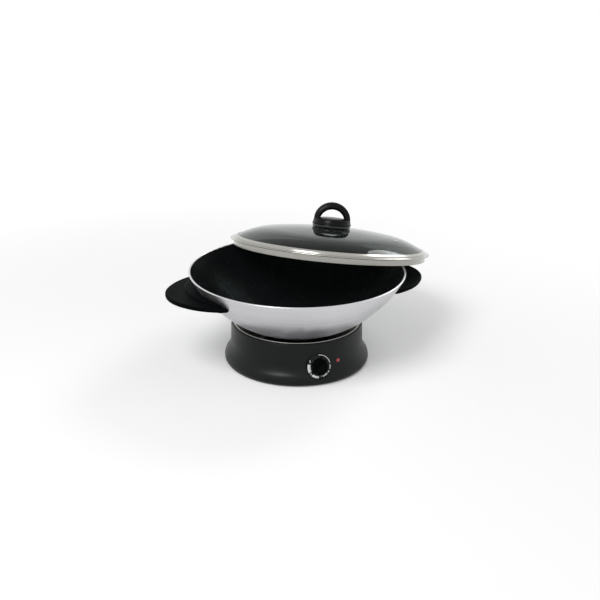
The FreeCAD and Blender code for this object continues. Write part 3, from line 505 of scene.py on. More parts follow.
def tidy(bm):
    """Merge doubles, delete what has no face and turn the faces outwards."""
    merge_distance = 0.002 * MM
    bmesh.ops.remove_doubles(bm, verts=bm.verts, dist=merge_distance)
    bmesh.ops.dissolve_degenerate(bm, dist=merge_distance, edges=bm.edges)
    loose = [vert for vert in bm.verts if not vert.link_faces]
    bmesh.ops.delete(bm, geom=loose, context="VERTS")
    bare = [edge for edge in bm.edges if not edge.link_faces]
    bmesh.ops.delete(bm, geom=bare, context="EDGES")
    bmesh.ops.recalc_face_normals(bm, faces=bm.faces)


def piece(name, mesh, finish, body, replaced=(), place=None, crease=32.0):
    """A finished piece at its place on its body."""
    bm = bmesh.new()
    bm.from_mesh(mesh)
    tidy(bm)
    if place:
        bm.transform(place)
    mesh = mesh_from(bm, name)
    mesh.materials.clear()
    mesh.materials.append(finish)
    mesh.shade_smooth()
    mesh.set_sharp_from_angle(angle=math.radians(crease))
    obj = bpy.data.objects.new(name, mesh)
    bpy.context.scene.collection.objects.link(obj)
    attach(obj, body)
    if replaced:
        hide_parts(*replaced)
    return obj


# Shader node groups

def shader_group(name, inputs, outputs, make):
    """A shader node group that is built once and shared by the finishes."""
    tree = bpy.data.node_groups.get(name)
    if tree:
        return tree
    tree = bpy.data.node_groups.new(name, "ShaderNodeTree")
    tree.interface.new_socket("Vector", in_out="INPUT", socket_type="NodeSocketVector")
    for title, value in inputs.items():
        socket = tree.interface.new_socket(title, in_out="INPUT", socket_type="NodeSocketFloat")
        socket.default_value = value
    for title in outputs:
        tree.interface.new_socket(title, in_out="OUTPUT", socket_type="NodeSocketFloat")
    results = make(tree, node(tree, "NodeGroupInput").outputs)
    node(tree, "NodeGroupOutput", dict(zip(outputs, results)))
    return tree


def moulded_grain():
    """Fine pits of moulded plastic, and a faint unevenness of its colour."""
    def make(tree, given):
        fine = noise(tree, given["Vector"], given["Scale"], 2.0)
        pits = node(tree, "ShaderNodeTexVoronoi", {"Vector": given["Vector"], "Scale": given["Scale"]})
        height = maths(tree, "ADD", fine, pits.outputs["Distance"])
        broad_scale = maths(tree, "MULTIPLY", given["Scale"], 0.02)
        return height, noise(tree, given["Vector"], broad_scale, 3.0)

    return shader_group("Moulded grain", {"Scale": 900.0}, ("Height", "Shade"), make)


def turning_marks():
    """Streaks that run round the Z axis, as a lathe or a spinning tool leaves them."""
    def make(tree, given):
        parts = node(tree, "ShaderNodeSeparateXYZ", {"Vector": given["Vector"]})
        flat = node(tree, "ShaderNodeCombineXYZ", {"X": parts.outputs["X"], "Y": parts.outputs["Y"]})
        radius = node(tree, "ShaderNodeVectorMath", {0: flat.outputs[0]}, operation="LENGTH")
        angle = maths(tree, "ARCTAN2", parts.outputs["Y"], parts.outputs["X"])
        along = node(tree, "ShaderNodeCombineXYZ", {
            "X": radius.outputs["Value"],
            "Y": maths(tree, "MULTIPLY", angle, 0.0012),
            "Z": parts.outputs["Z"],
        }).outputs[0]
        broad_scale = maths(tree, "MULTIPLY", given["Scale"], 0.08)
        return noise(tree, along, given["Scale"], 3.0), noise(tree, along, broad_scale, 2.0)

    return shader_group("Turning marks", {"Scale": 2500.0}, ("Height", "Streak"), make)


def handling_marks():
    """Soft smudges from wiping and fingers."""
    def make(tree, given):
        cloud = noise(tree, given["Vector"], given["Scale"], 4.0, 0.8)
        mask = node(tree, "ShaderNodeMapRange", {
            "Value": cloud, "From Min": 0.42, "From Max": 0.68, "To Min": 0.0, "To Max": 1.0,
        })
        return (mask.outputs[0],)

    return shader_group("Handling marks", {"Scale": 28.0}, ("Smudge",), make)


def edge_wear():
    """Where edges and corners have been rubbed."""
    def make(tree, given):
        shape = node(tree, "ShaderNodeNewGeometry")
        edge = node(tree, "ShaderNodeMapRange", {
            "Value": shape.outputs["Pointiness"],
            "From Min": 0.52, "From Max": 0.60, "To Min": 0.0, "To Max": 1.0,
        })
        patches = noise(tree, given["Vector"], given["Scale"], 4.0)
        return (maths(tree, "MULTIPLY", edge.outputs[0], patches),)

    return shader_group("Edge wear", {"Scale": 120.0}, ("Wear",), make)


# Finishes

# Keeps the finishes apart from the frame's own materials, which are named after its slots
FINISH_ENDING = "_finish"


class Finish:
    """A material under construction: its shader and the coordinates that its patterns use."""

    def __init__(self, name, place=None):
        self.material = bpy.data.materials.new(name + FINISH_ENDING)
        self.material.use_nodes = True
        self.tree = self.material.node_tree
        self.tree.nodes.clear()
        self.shader = node(self.tree, "ShaderNodeBsdfPrincipled")
        node(self.tree, "ShaderNodeOutputMaterial", {"Surface": self.shader.outputs[0]})
        self.vector = node(self.tree, "ShaderNodeTexCoord").outputs["Object"]
        if place:
            centred = node(self.tree, "ShaderNodeMapping", {
                "Vector": self.vector, "Location": place.to_translation(), "Rotation": place.to_euler(),
            }, vector_type="TEXTURE")
            self.vector = centred.outputs[0]

    def group(self, tree, scale):
        made = node(self.tree, "ShaderNodeGroup", node_tree=tree)
        made.inputs["Scale"].default_value = scale
        self.tree.links.new(self.vector, made.inputs["Vector"])
        return made.outputs

    def distance(self):
        """Distance from the middle of the pattern."""
        made = node(self.tree, "ShaderNodeVectorMath", {0: self.vector}, operation="LENGTH")
        return made.outputs["Value"]

    def ranged(self, value, low, high, start=0.3, end=0.7):
        """A value that varies between two limits."""
        made = node(self.tree, "ShaderNodeMapRange", {
            "Value": value, "From Min": start, "From Max": end, "To Min": low, "To Max": high,
        })
        return made.outputs[0]

    def mixed(self, factor, first, second):
        """A colour between two others."""
        made = node(self.tree, "ShaderNodeMix", {0: factor}, data_type="RGBA")
        for socket, value in ((made.inputs[6], first), (made.inputs[7], second)):
            if isinstance(value, bpy.types.NodeSocket):
                self.tree.links.new(value, socket)
            else:
                socket.default_value = (*value, 1.0)
        return made.outputs[2]

    def wire(self, name, value):
        self.tree.links.new(value, self.shader.inputs[name])

    def bump(self, height, distance):
        made = node(self.tree, "ShaderNodeBump", {"Height": height, "Distance": distance, "Strength": 1.0})
        self.wire("Normal", made.outputs[0])

    def fix(self, **values):
        """Plain values on the shader's own sockets."""
        for name, value in values.items():
            self.shader.inputs[name.replace("_", " ")].default_value = value
        return self


def times(colour, factor):
    return tuple(min(part * factor, 1.0) for part in colour)


def plastic(name, colour, roughness, grain=900.0, depth=0.02, wear=1.6, place=None, shine=0.12):
    """Moulded plastic with a fine grain, faint smudges and rubbed edges. The depth is in millimetres."""
    made = bpy.data.materials.get(name + FINISH_ENDING)
    if made:
        return made
    finish = Finish(name, place).fix(Specular_IOR_Level=shine)
    pits = finish.group(moulded_grain(), grain)
    marks = finish.group(handling_marks(), 30.0)
    worn = finish.group(edge_wear(), 150.0)
    body = finish.mixed(finish.ranged(pits["Shade"], 0.0, 1.0), times(colour, 0.85), times(colour, 1.2))
    finish.wire("Base Color", finish.mixed(worn["Wear"], body, times(colour, wear)))
    finish.wire("Roughness", finish.ranged(marks["Smudge"], roughness * 0.93, roughness * 1.12, 0.0, 1.0))
    finish.bump(pits["Height"], depth * MM)
    return finish.material


def metal(name, colour, roughness, marks=2500.0, depth=0.004, place=None, anisotropy=0.0, painted_shade_below=None):
    """Bare metal with marks from turning round its axis. Below a height, if one is given, its colour is darkened
    as painted shade.
    """
    made = bpy.data.materials.get(name + FINISH_ENDING)
    if made:
        return made
    quarter_turn = 0.25
    finish = Finish(name, place)
    finish.fix(Metallic=1.0, Anisotropic=anisotropy, Anisotropic_Rotation=quarter_turn)
    streaks = finish.group(turning_marks(), marks)
    smudges = finish.group(handling_marks(), 22.0)
    streak = finish.ranged(streaks["Streak"], 0.0, 1.0)
    bare = finish.mixed(streak, times(colour, 0.94), times(colour, 1.05))
    # Painted shade: under the given height the colour is darkened to stand in for the shadow and dark reflections
    # under the trim ring
    if painted_shade_below:
        height = node(finish.tree, "ShaderNodeSeparateXYZ", {"Vector": finish.vector}).outputs["Z"]
        above_painted_shade = finish.ranged(height, 0.0, 1.0, painted_shade_below - 1.0 * MM, painted_shade_below)
        bare = finish.mixed(above_painted_shade, times(colour, 0.05), bare)
    finish.wire("Base Color", bare)
    finish.wire("Roughness", finish.ranged(smudges["Smudge"], roughness * 0.95, roughness * 1.2, 0.0, 1.0))
    finish.bump(streaks["Height"], depth * MM)
    if anisotropy:
        tangent = node(finish.tree, "ShaderNodeTangent", direction_type="RADIAL", axis="Z")
        finish.wire("Tangent", tangent.outputs[0])
    return finish.material


def smoked_glass(name, colour, place):
    """Tempered glass with a grey-green tint and a faint haze."""
    finish = Finish(name, place).fix(Transmission_Weight=1.0, IOR=1.2)
    marks = finish.group(handling_marks(), 18.0)
    finish.wire("Base Color", finish.mixed(marks["Smudge"], colour, times(colour, 1.06)))
    finish.wire("Roughness", finish.ranged(marks["Smudge"], 0.015, 0.05, 0.0, 1.0))
    return finish.material


def lamp_window(name, colour, place):
    """Red moulded window, lighter in the middle where the lamp stands behind it."""
    finish = Finish(name, place).fix(Coat_Weight=0.5, Coat_Roughness=0.1, Emission_Strength=1.0)
    grain = finish.group(moulded_grain(), 1200.0)
    middle = finish.ranged(finish.distance(), 1.0, 0.0, 0.8 * MM, 3.2 * MM)
    finish.wire("Base Color", finish.mixed(middle, colour, (0.52, 0.09, 0.10)))
    finish.wire("Emission Color", finish.mixed(middle, (0.015, 0.0, 0.0), (0.20, 0.025, 0.03)))
    finish.wire("Roughness", finish.ranged(grain["Shade"], 0.18, 0.28))
    finish.bump(grain["Height"], 0.01 * MM)
    return finish.material


def housing_finish():
    return plastic("housing_plastic", settings("wok_finish").housing, 0.34, depth=0.012, shine=0.2)


def handle_finish():
    black = settings("wok_finish").handle
    return plastic("handle_plastic", black, 0.48, grain=700.0, depth=0.02, shine=0.012)


def rubber_finish():
    return plastic("foot_rubber", settings("wok_finish").rubber, 0.78, grain=500.0, depth=0.05, wear=1.2)


def steel_finish():
    """Bright on the trim ring, with painted shade darkening the dish under it."""
    # Under the lip's height the steel's colour is darkened as painted shade
    rim = settings("wok_base").height - 0.5 * MM
    return metal("reflector_steel", settings("wok_finish").steel, 0.24, painted_shade_below=rim)


# Operators

class WOK_OT_stage(bpy.types.Operator):
    """Set up the camera, the pale floor and the studio light."""

    bl_idname = "wok.stage"
    bl_label = "Stage"

    def execute(self, context):
        scene = context.scene
        scene.view_settings.view_transform = "Standard"
        self.add_camera(scene, scene.wok_stage)
        self.add_floor(scene.wok_stage.floor_shade)
        self.add_world(scene, scene.wok_stage.fill)
        middle = Vector((0, 0, 0.1))
        self.add_lamp("key_light", Vector((-1.25, -1.0, 1.9)), middle, 1.2, 34.0)
        self.add_lamp("rim_light", Vector((1.5, 0.9, 1.3)), middle, 0.9, 12.0)
        return {"FINISHED"}

    def add_camera(self, scene, stage):
        target = Vector((4.84, -1.62, 103.2)) * MM
        flat = math.cos(stage.elevation)
        back = Vector((
            math.sin(stage.azimuth) * flat, -math.cos(stage.azimuth) * flat, math.sin(stage.elevation),
        ))
        lens = bpy.data.cameras.new("camera")
        lens.lens = stage.focal_length
        lens.sensor_width = 36.0
        lens.clip_start = 0.05
        camera = bpy.data.objects.new("camera", lens)
        facing = (-back).to_track_quat("-Z", "Y").to_matrix().to_4x4()
        place = Matrix.Translation(target + back * stage.distance) @ facing
        camera.matrix_world = place @ Matrix.Rotation(stage.roll, 4, "Z")
        scene.collection.objects.link(camera)
        scene.camera = camera

    def add_floor(self, shade):
        reach = 6.0
        shadow_reach = 0.34
        white_from = 1.1
        mesh = bpy.data.meshes.new("floor")
        corners = [(-reach, -reach, 0), (reach, -reach, 0), (reach, reach, 0), (-reach, reach, 0)]
        mesh.from_pydata(corners, [], [(0, 1, 2, 3)])
        finish = Finish("floor_paper").fix(Roughness=0.9, Specular_IOR_Level=0.1)
        grain = finish.group(moulded_grain(), 300.0)
        pale = (shade, shade, shade)
        seen = background_seen(finish.tree)
        away = finish.ranged(finish.distance(), 0.0, 1.0, shadow_reach, white_from)
        lit = finish.mixed(grain["Shade"], times(pale, 0.995), pale)
        backdrop = maths(finish.tree, "MULTIPLY", seen, away)
        finish.wire("Base Color", finish.mixed(backdrop, lit, (0.0, 0.0, 0.0)))
        whiteness = finish.ranged(away, 0.20, 1.0, 0.0, 1.0)
        finish.fix(Emission_Color=(1.0, 1.0, 1.0, 1.0))
        finish.wire("Emission Strength", maths(finish.tree, "MULTIPLY", seen, whiteness))
        mesh.materials.append(finish.material)
        floor = bpy.data.objects.new("floor", mesh)
        bpy.context.scene.collection.objects.link(floor)

    def add_world(self, scene, fill):
        world = bpy.data.worlds.new("studio")
        world.use_nodes = True
        tree = world.node_tree
        tree.nodes.clear()
        seen = background_seen(tree)
        strength = node(tree, "ShaderNodeMapRange", {"Value": seen, "To Min": fill, "To Max": 1.0})
        light = node(tree, "ShaderNodeBackground", {"Color": (1, 1, 1, 1), "Strength": strength.outputs[0]})
        node(tree, "ShaderNodeOutputWorld", {"Surface": light.outputs[0]})
        scene.world = world

    def add_lamp(self, name, place, target, width, power):
        light = bpy.data.lights.new(name, "AREA")
        light.shape = "DISK"
        light.size = width
        light.energy = power
        lamp = bpy.data.objects.new(name, light)
        lamp.location = place
        lamp.rotation_mode = "QUATERNION"
        lamp.rotation_quaternion = (target - place).to_track_quat("-Z", "Y")
        bpy.context.scene.collection.objects.link(lamp)


def background_seen(tree):
    """1 for rays that show the background: the camera's, and those from gloss and through glass."""
    path = node(tree, "ShaderNodeLightPath")
    direct = maths(tree, "MAXIMUM", path.outputs["Is Camera Ray"], path.outputs["Is Glossy Ray"])
    return maths(tree, "MAXIMUM", direct, path.outputs["Is Transmission Ray"])


class WOK_OT_base_housing(bpy.types.Operator):
    """Build the flared housing of the base with its dial pad and cord pad."""

    bl_idname = "wok.base_housing"
    bl_label = "Base housing"

    def execute(self, context):
        base = context.scene.wok_base
        cord_hole_radius = 6.1 * MM
        neck_hole_radius = 4.3 * MM
        lens_hole_radius = 3.6 * MM
        shell = turned("base_housing", self.profile(base), 192)
        pad = on_dial_pad(base.pad_radius, -base.pad_depth, 0)
        shell = combined(shell, placed(pad, on_dial), "UNION")
        front = disc(base.pad_radius, 0, base.pad_depth + base.wall)
        shell = combined(shell, placed(front, on_dial), "DIFFERENCE")
        cord_pad = disc(base.gland_pad_radius, -base.gland_pad_depth, 0)
        shell = combined(shell, placed(cord_pad, at_gland), "UNION")
        cord_hole = disc(cord_hole_radius, -2 * base.gland_pad_depth, base.wall)
        shell = combined(shell, placed(cord_hole, at_gland), "DIFFERENCE")
        neck_hole = disc(neck_hole_radius, -2 * base.pad_depth, base.wall)
        shell = combined(shell, placed(neck_hole, on_dial), "DIFFERENCE")
        lens_hole = disc(lens_hole_radius, -2 * base.wall, 2 * base.wall)
        shell = combined(shell, placed(lens_hole, at_pilot), "DIFFERENCE")
        piece("base_housing", shell, housing_finish(), "base", ["base_shell"])
        return {"FINISHED"}

    def profile(self, base):
        lip_round = base.lip_width / 2
        lip_inner = base.rim_radius - base.lip_width
        edge = lip_round / 2
        hollow = 0.9 * MM
        wall = base.wall
        outline = Outline(base.foot_radius, base.bottom)
        outline.swell(0.6 * MM, base.flare_radius, base.flare_height, 10)
        outline.swell(hollow, base.turn_radius, base.turn_height, 14)
        outline.swell(-hollow, base.waist_radius, base.waist_height, 14)
        outline.line(base.rim_radius, base.height - lip_round)
        outline.quarter(base.rim_radius - lip_round, base.height, 8)
        outline.line(lip_inner + edge, base.height)
        outline.quarter(lip_inner, base.height - edge)
        outline.line(lip_inner, base.height - base.lip_drop)
        outline.line(base.rim_radius - wall, base.height - base.lip_drop - wall)
        outline.line(base.waist_radius - wall, base.waist_height)
        outline.line(base.turn_radius - wall, base.turn_height)
        outline.line(base.bore_radius, base.flare_height)
        outline.line(base.bore_radius, base.bottom)
        return outline


def on_dial_pad(radius, bottom, top):
    """A round pad with a softened front edge."""
    edge = 0.6 * MM
    outline = Outline(0, bottom).line(radius, bottom).line(radius, top - edge)
    outline.quarter(radius - edge, top).line(0, top)
    return turned("pad", outline, 96)


class WOK_OT_underside(bpy.types.Operator):
    """Build the four rubber feet."""

    bl_idname = "wok.underside"
    bl_label = "Rubber feet"

    def execute(self, context):
        base = context.scene.wok_base
        radius = 7.5 * MM
        edge = 0.8 * MM
        top = 2.15 * MM
        dimple = 0.5 * MM
        outline = Outline(0, dimple).line(radius / 3, dimple).line(radius / 2, 0)
        outline.line(radius - edge, 0).quarter(radius, edge).line(radius - edge / 2, top).line(0, top)
        foot = turned("foot", outline, 40)
        foot = placed(foot, move(base.foot_ring, 0, 0))
        values = {"Count": 4, "First Angle": math.radians(45.0)}
        feet = grown("rubber_pads", foot, ring_tree(), rubber_finish(), values)
        piece("rubber_pads", feet, rubber_finish(), "base", ["rubber_feet"])
        return {"FINISHED"}


class WOK_OT_control_dial(bpy.types.Operator):
    """Build the control knob and the marks printed round it."""

    bl_idname = "wok.control_dial"
    bl_label = "Control dial"

    # Printed bars as degrees clockwise from the top, and their width in millimetres
    bars = (
        (0, 77, 1.0), (87, 109, 1.2), (117, 130, 1.4), (134.5, 162, 2.6), (183, 222, 3.6), (243, 287, 4.9),
    )
    numerals = (("1", 170.0), ("2", 232.5), ("3", 303.0))

    def execute(self, context):
        dial = context.scene.wok_dial
        knob = moulded("knob", [self.skirt(dial), self.grip(dial)], 0.32 * MM, 3)
        pointing = turn(-45.0, "Z")
        colours = settings("wok_finish")
        finish = plastic("knob_plastic", colours.handle, 0.36, grain=1100.0, depth=0.012, shine=0.02)
        piece("dial_knob", knob, finish, "knob", ["control_knob"],
              on_dial @ pointing, 180.0)
        marks = [self.bar(dial, *bar) for bar in self.bars]
        marks += [self.numeral(dial, *numeral) for numeral in self.numerals]
        printed = plastic("printed_marks", colours.marks, 0.5, grain=1500.0, depth=0.004,
                          wear=1.0, shine=0.4)
        piece("dial_print", joined("dial_print", marks), printed, "base", (), on_dial)
        return {"FINISHED"}

    def skirt(self, dial):
        taper = 0.6 * MM
        edge = 0.8 * MM
        top = dial.gap + dial.skirt_height
        outline = Outline(0, dial.gap).line(dial.knob_radius - edge / 2, dial.gap)
        outline.quarter(dial.knob_radius, dial.gap + edge / 2).line(dial.knob_radius - taper, top - edge)
        outline.quarter(dial.knob_radius - taper - edge, top).line(0, top)
        return turned("skirt", outline, 96)

    def grip(self, dial):
        """The bar across the knob, a little narrower at its top."""
        low = dial.gap + 1.0 * MM
        high = dial.gap + dial.knob_height
        half = dial.grip_width / 2
        reach = dial.knob_radius - 1.0 * MM
        draft = 0.9 * MM
        edge = 1.1 * MM
        top_edge = (high - edge * 0.3, draft + edge * 0.3)
        levels = ((low, 0), (high - edge, draft), top_edge, (high, draft + edge))
        rings = []
        for height, inset in levels:
            outline = Outline(half - inset, half - reach + inset)
            outline.line(half - inset, reach - half - inset)
            outline.swell(half * 0.8, inset - half, reach - half - inset, 14)
            outline.line(inset - half, half - reach + inset)
            outline.swell(half * 0.8, half - inset, half - reach + inset, 14)
            rings.append([Vector((point.x, point.y, height)) for point in outline.points[:-1]])
        return skin("grip", rings)

    def bar(self, dial, start, end, width):
        """A bent bar of print."""
        outer = dial.mark_radius
        inner = outer - width * MM
        steps = 24
        angles = [math.radians(start + (end - start) * k / steps) for k in range(steps + 1)]
        rings = []
        for angle in angles:
            out = Vector((math.sin(angle), math.cos(angle), 0))
            low, high = Vector((0, 0, -dial.print_height)), Vector((0, 0, dial.print_height))
            rings.append([out * inner + low, out * outer + low, out * outer + high, out * inner + high])
        return skin("bar", rings)

    def numeral(self, dial, text, degrees):
        curve = bpy.data.curves.new("numeral", "FONT")
        curve.body = text
        curve.size = dial.numeral
        curve.align_x = "CENTER"
        curve.align_y = "CENTER"
        curve.extrude = dial.print_height
        curve.offset = 0.12 * MM
        obj = bpy.data.objects.new("numeral", curve)
        bpy.context.scene.collection.objects.link(obj)
        mesh = baked(obj)
        distance = dial.mark_radius - dial.numeral * 0.38
        angle = math.radians(degrees)
        return placed(mesh, move(distance * math.sin(angle), distance * math.cos(angle), 0))


class WOK_OT_pilot_lamp(bpy.types.Operator):
    """Build the red window of the pilot lamp."""

    bl_idname = "wok.pilot_lamp"
    bl_label = "Pilot lamp"

    def execute(self, context):
        dial = context.scene.wok_dial
        radius = dial.lens_radius
        proud = 0.4 * MM
        groove = 0.25 * MM
        inner = radius * 0.74
        outline = Outline(0, -4.5 * MM).line(radius, -4.5 * MM).line(radius, proud)
        outline.quarter(radius - groove, proud + groove).line(inner + groove, proud + groove)
        outline.line(inner, proud).swell(dial.lens_dome * 0.6, 0, proud + dial.lens_dome, 12)
        finish = lamp_window("lamp_window", settings("wok_finish").lamp, at_pilot)
        window = turned("pilot_window", outline, 64)
        piece("pilot_window", window, finish, "base", ["pilot_lens"], at_pilot)
        return {"FINISHED"}


class WOK_OT_heating(bpy.types.Operator):
    """Build the pressed reflector dish and the tubular heating ring on it."""

    bl_idname = "wok.heating"
    bl_label = "Reflector and heating ring"

    half_gap = 24.0
    bend_radius = 9.0 * MM
    leg_bottom = 31.0 * MM
    pin_radius = 1.6 * MM
    pin_heights = (23.0 * MM, 32.0 * MM)

    def execute(self, context):
        base = context.scene.wok_base
        dish = turned("reflector_dish", self.dish(base), 192)
        piece("reflector_dish", dish, steel_finish(), "base", ["heat_reflector"])
        colours = settings("wok_finish")
        tube = metal("element_steel", times(colours.steel, 0.07), 0.42, marks=1200.0, depth=0.01)
        ring = grown("ring", line_mesh("route", self.route(base), False), tube_tree(), tube,
                     {"Segments": 24, "Radius": base.tube_radius})
        pins = []
        for foot in (self.leg(base, 1), self.leg(base, -1)):
            path = [Vector((foot.x, foot.y, height)) for height in self.pin_heights]
            pins.append(grown("pin", line_mesh("pin", path, False), tube_tree(), tube,
                              {"Segments": 12, "Radius": self.pin_radius}))
        piece("heating_ring", joined("heating_ring", [ring, *pins]), tube, "base",
              ["heating_element"], None, 50.0)
        return {"FINISHED"}

    def dish(self, base):
        wall = 1.0 * MM
        lip_inner = base.rim_radius - base.lip_width
        outer = lip_inner - 0.2 * MM
        under = base.height + 0.05 * MM
        flange = lip_inner + 1.6 * MM
        knee = base.height - 6.5 * MM
        floor = base.dish_floor
        corner = 5.0 * MM
        rise = 1.25 * MM
        outline = Outline(0, floor - wall).line(base.dish_floor_radius - corner, floor - wall)
        outline.swell(0.35 * MM, base.dish_floor_radius, floor - wall + rise)
        outline.line(outer, knee).line(outer, under).line(flange, under)
        outline.swell(wall / 2, flange, under + wall)
        outline.line(outer, under + wall).quarter(outer - wall, under)
        outline.line(outer - wall, knee + wall / 2)
        outline.line(base.dish_floor_radius - wall / 2, floor + rise)
        outline.swell(-0.35 * MM, base.dish_floor_radius - corner, floor).line(0, floor)
        return outline

    def end(self, base, side):
        """The end of the ring beside its gap, and the way the tube leaves it."""
        angle = math.radians(90.0 + side * self.half_gap)
        out = Vector((math.cos(angle), math.sin(angle), 0))
        point = out * base.ring_radius + Vector((0, 0, base.ring_height))
        return point, Vector((out.y, -out.x, 0)) * side

    def leg(self, base, side):
        point, leaving = self.end(base, side)
        return point + leaving * self.bend_radius

    def bend(self, base, side):
        """Points from the ring down into a leg."""
        point, leaving = self.end(base, side)
        radius = self.bend_radius
        angles = [math.radians(90.0 * k / 10) for k in range(11)]
        return [
            point + leaving * radius * math.sin(angle) - Vector((0, 0, radius * (1 - math.cos(angle))))
            for angle in angles
        ]

    def route(self, base):
        """The tube's middle line, from one leg round the ring to the other."""
        foot_drop = Vector((0, 0, base.ring_height - self.bend_radius - self.leg_bottom))
        left = self.bend(base, 1)
        right = self.bend(base, -1)
        steps = 120
        ring = []
        for k in range(1, steps):
            angle = math.radians(90.0 + self.half_gap + (360.0 - 2 * self.half_gap) * k / steps)
            ring.append(Vector((
                base.ring_radius * math.cos(angle), base.ring_radius * math.sin(angle), base.ring_height,
            )))
        return [left[-1] - foot_drop, *reversed(left), *ring, *right, right[-1] - foot_drop]


class WOK_OT_bowl(bpy.types.Operator):
    """Build the spun wok and its black lining."""

    bl_idname = "wok.bowl"
    bl_label = "Wok"

    segments = 256

    def execute(self, context):
        bowl = context.scene.wok_bowl
        self.centre = bowl.rim_height + math.sqrt(bowl.arc_radius ** 2 - bowl.rim_radius ** 2)
        colours = context.scene.wok_finish
        spun = metal("spun_aluminium", colours.aluminium, 0.30, marks=1600.0, depth=0.003, anisotropy=0.75)
        lining = plastic("bowl_lining", colours.coating, 0.26, grain=1400.0, depth=0.012,
                         wear=1.3, shine=0.06)
        outside = turned("bowl_outside", self.outside(bowl), self.segments)
        piece("bowl_outside", outside, spun, "wok", ["wok_bowl"])
        inside = turned("bowl_lining", self.lining(bowl), self.segments)
        piece("bowl_lining", inside, lining, "wok", ["wok_bowl"])
        return {"FINISHED"}

    def radius_at(self, height, arc):
        return math.sqrt(arc ** 2 - (self.centre - height) ** 2)

    def outside(self, bowl):
        edge = bowl.rim_round
        below = bowl.rim_height - edge
        inner = bowl.arc_radius - bowl.wall + bowl.coating
        floor = bowl.bottom + bowl.floor - bowl.coating
        outer_stop = self.radius_at(below, bowl.arc_radius)
        inner_stop = self.radius_at(below, inner)
        outline = Outline(0, bowl.bottom)
        outline.line(self.radius_at(bowl.bottom, bowl.arc_radius) - edge, bowl.bottom)
        corner = bowl.bottom + edge
        outline.swell(edge * 0.2, self.radius_at(corner, bowl.arc_radius), corner, 4)
        outline.about(0, self.centre, outer_stop, below, 64)
        outline.quarter(outer_stop - edge, bowl.rim_height)
        outline.line(inner_stop + edge, bowl.rim_height).quarter(inner_stop, below)
        outline.about(0, self.centre, self.radius_at(floor, inner), floor, 64)
        return outline.line(0, floor)

    def lining(self, bowl):
        outer = bowl.arc_radius - bowl.wall + bowl.coating
        inner = outer - bowl.coating
        floor = bowl.bottom + bowl.floor
        edge = bowl.rim_height - bowl.rim_round
        under = floor - bowl.coating
        outline = Outline(0, under).line(self.radius_at(under, outer), under)
        outline.about(0, self.centre, self.radius_at(edge, outer), edge, 64)
        outline.line(self.radius_at(edge, inner), edge)
        outline.about(0, self.centre, self.radius_at(floor, inner), floor, 64)
        return outline.line(0, floor)


class WOK_OT_handles(bpy.types.Operator):
    """Build the two winged handles."""

    bl_idname = "wok.handles"
    bl_label = "Handles"

    # Points of the wing's outline as distance from the bowl and angle from the handle's middle
    wing_end = (1.6, 31.5)
    wing_side = (24.1, 22.7)
    wing_shoulder = (44.0, 12.1)
    root_end = (3.4, 27.6)
    root_middle = 21.4
    least_width = 0.3 * MM

    def execute(self, context):
        handle = context.scene.wok_handle
        bowl = context.scene.wok_bowl
        self.arc = bowl.arc_radius + 0.1 * MM
        self.centre = bowl.rim_height + math.sqrt(bowl.arc_radius ** 2 - bowl.rim_radius ** 2)
        self.seat = self.bowl_radius(handle.top)
        mesh = moulded("wing", [self.wing(handle), self.root(handle)], 0.8 * MM, 4)
        for side, degrees in (("right", 0.0), ("left", 180.0)):
            name = "wing_handle_" + side
            piece(name, mesh.copy(), handle_finish(), "wok", ["handle_" + side],
                  turn(degrees, "Z"), 180.0)
        return {"FINISHED"}

    def bowl_radius(self, height):
        return math.sqrt(self.arc ** 2 - (self.centre - height) ** 2)

    def beside(self, out, degrees):
        distance = self.seat + out * MM
        angle = math.radians(degrees)
        return Vector((distance * math.cos(angle), distance * math.sin(angle)))

    def ring(self, outer, height, inset):
        """The outline at one height: its outer edge drawn in, and its inner edge against the bowl."""
        radius = self.bowl_radius(height)
        points = []
        for k, point in enumerate(outer):
            before, after = outer[max(k - 1, 0)], outer[min(k + 1, len(outer) - 1)]
            along = (after - before).normalized()
            moved = point - Vector((along.y, -along.x)) * inset
            points.append(moved * max(1.0, (radius + self.least_width) / moved.length))
        first, last = (math.atan2(end.y, end.x) for end in (points[-1], points[0]))
        steps = 48
        for k in range(steps + 1):
            angle = first + (last - first) * k / steps
            points.append(Vector((radius * math.cos(angle), radius * math.sin(angle))))
        return [Vector((point.x, point.y, height)) for point in points]

    def wing(self, handle):
        def across(degrees_and_out, side):
            out, degrees = degrees_and_out
            return self.beside(out, degrees * side)

        tip = self.beside(handle.length / MM, 0.0)
        low_shoulder, high_shoulder = across(self.wing_shoulder, -1), across(self.wing_shoulder, 1)
        outer = [across(self.wing_end, -1)]
        outer += arc_through(outer[0], across(self.wing_side, -1), low_shoulder, 20)
        outer += arc_through(low_shoulder, tip, high_shoulder, 28)
        outer += arc_through(high_shoulder, across(self.wing_side, 1), across(self.wing_end, 1), 20)
        edge = handle.wing_round
        bottom = handle.top - handle.thickness
        levels = []
        for k in range(6):
            angle = math.radians(90.0 * k / 5)
            levels.append((edge * (1 - math.sin(angle)), edge * (1 - math.cos(angle))))
        rings = [self.ring(outer, bottom + rise, inset) for inset, rise in levels]
        rings += [self.ring(outer, handle.top - rise, inset) for inset, rise in reversed(levels)]
        return skin("wing", rings)

    def root(self, handle):
        start, end = (self.beside(self.root_end[0], self.root_end[1] * side) for side in (-1, 1))
        outer = [start, *arc_through(start, self.beside(self.root_middle, 0.0), end, 40)]
        low = handle.top - handle.root_depth
        high = handle.top + handle.root_rise
        bevel = handle.root_bevel
        levels = (
            (low, bevel), (low + bevel, 0), (high - bevel, 0), (high - bevel * 0.35, bevel * 0.3), (high, bevel),
        )
        return skin("root", [self.ring(outer, height, inset) for height, inset in levels])


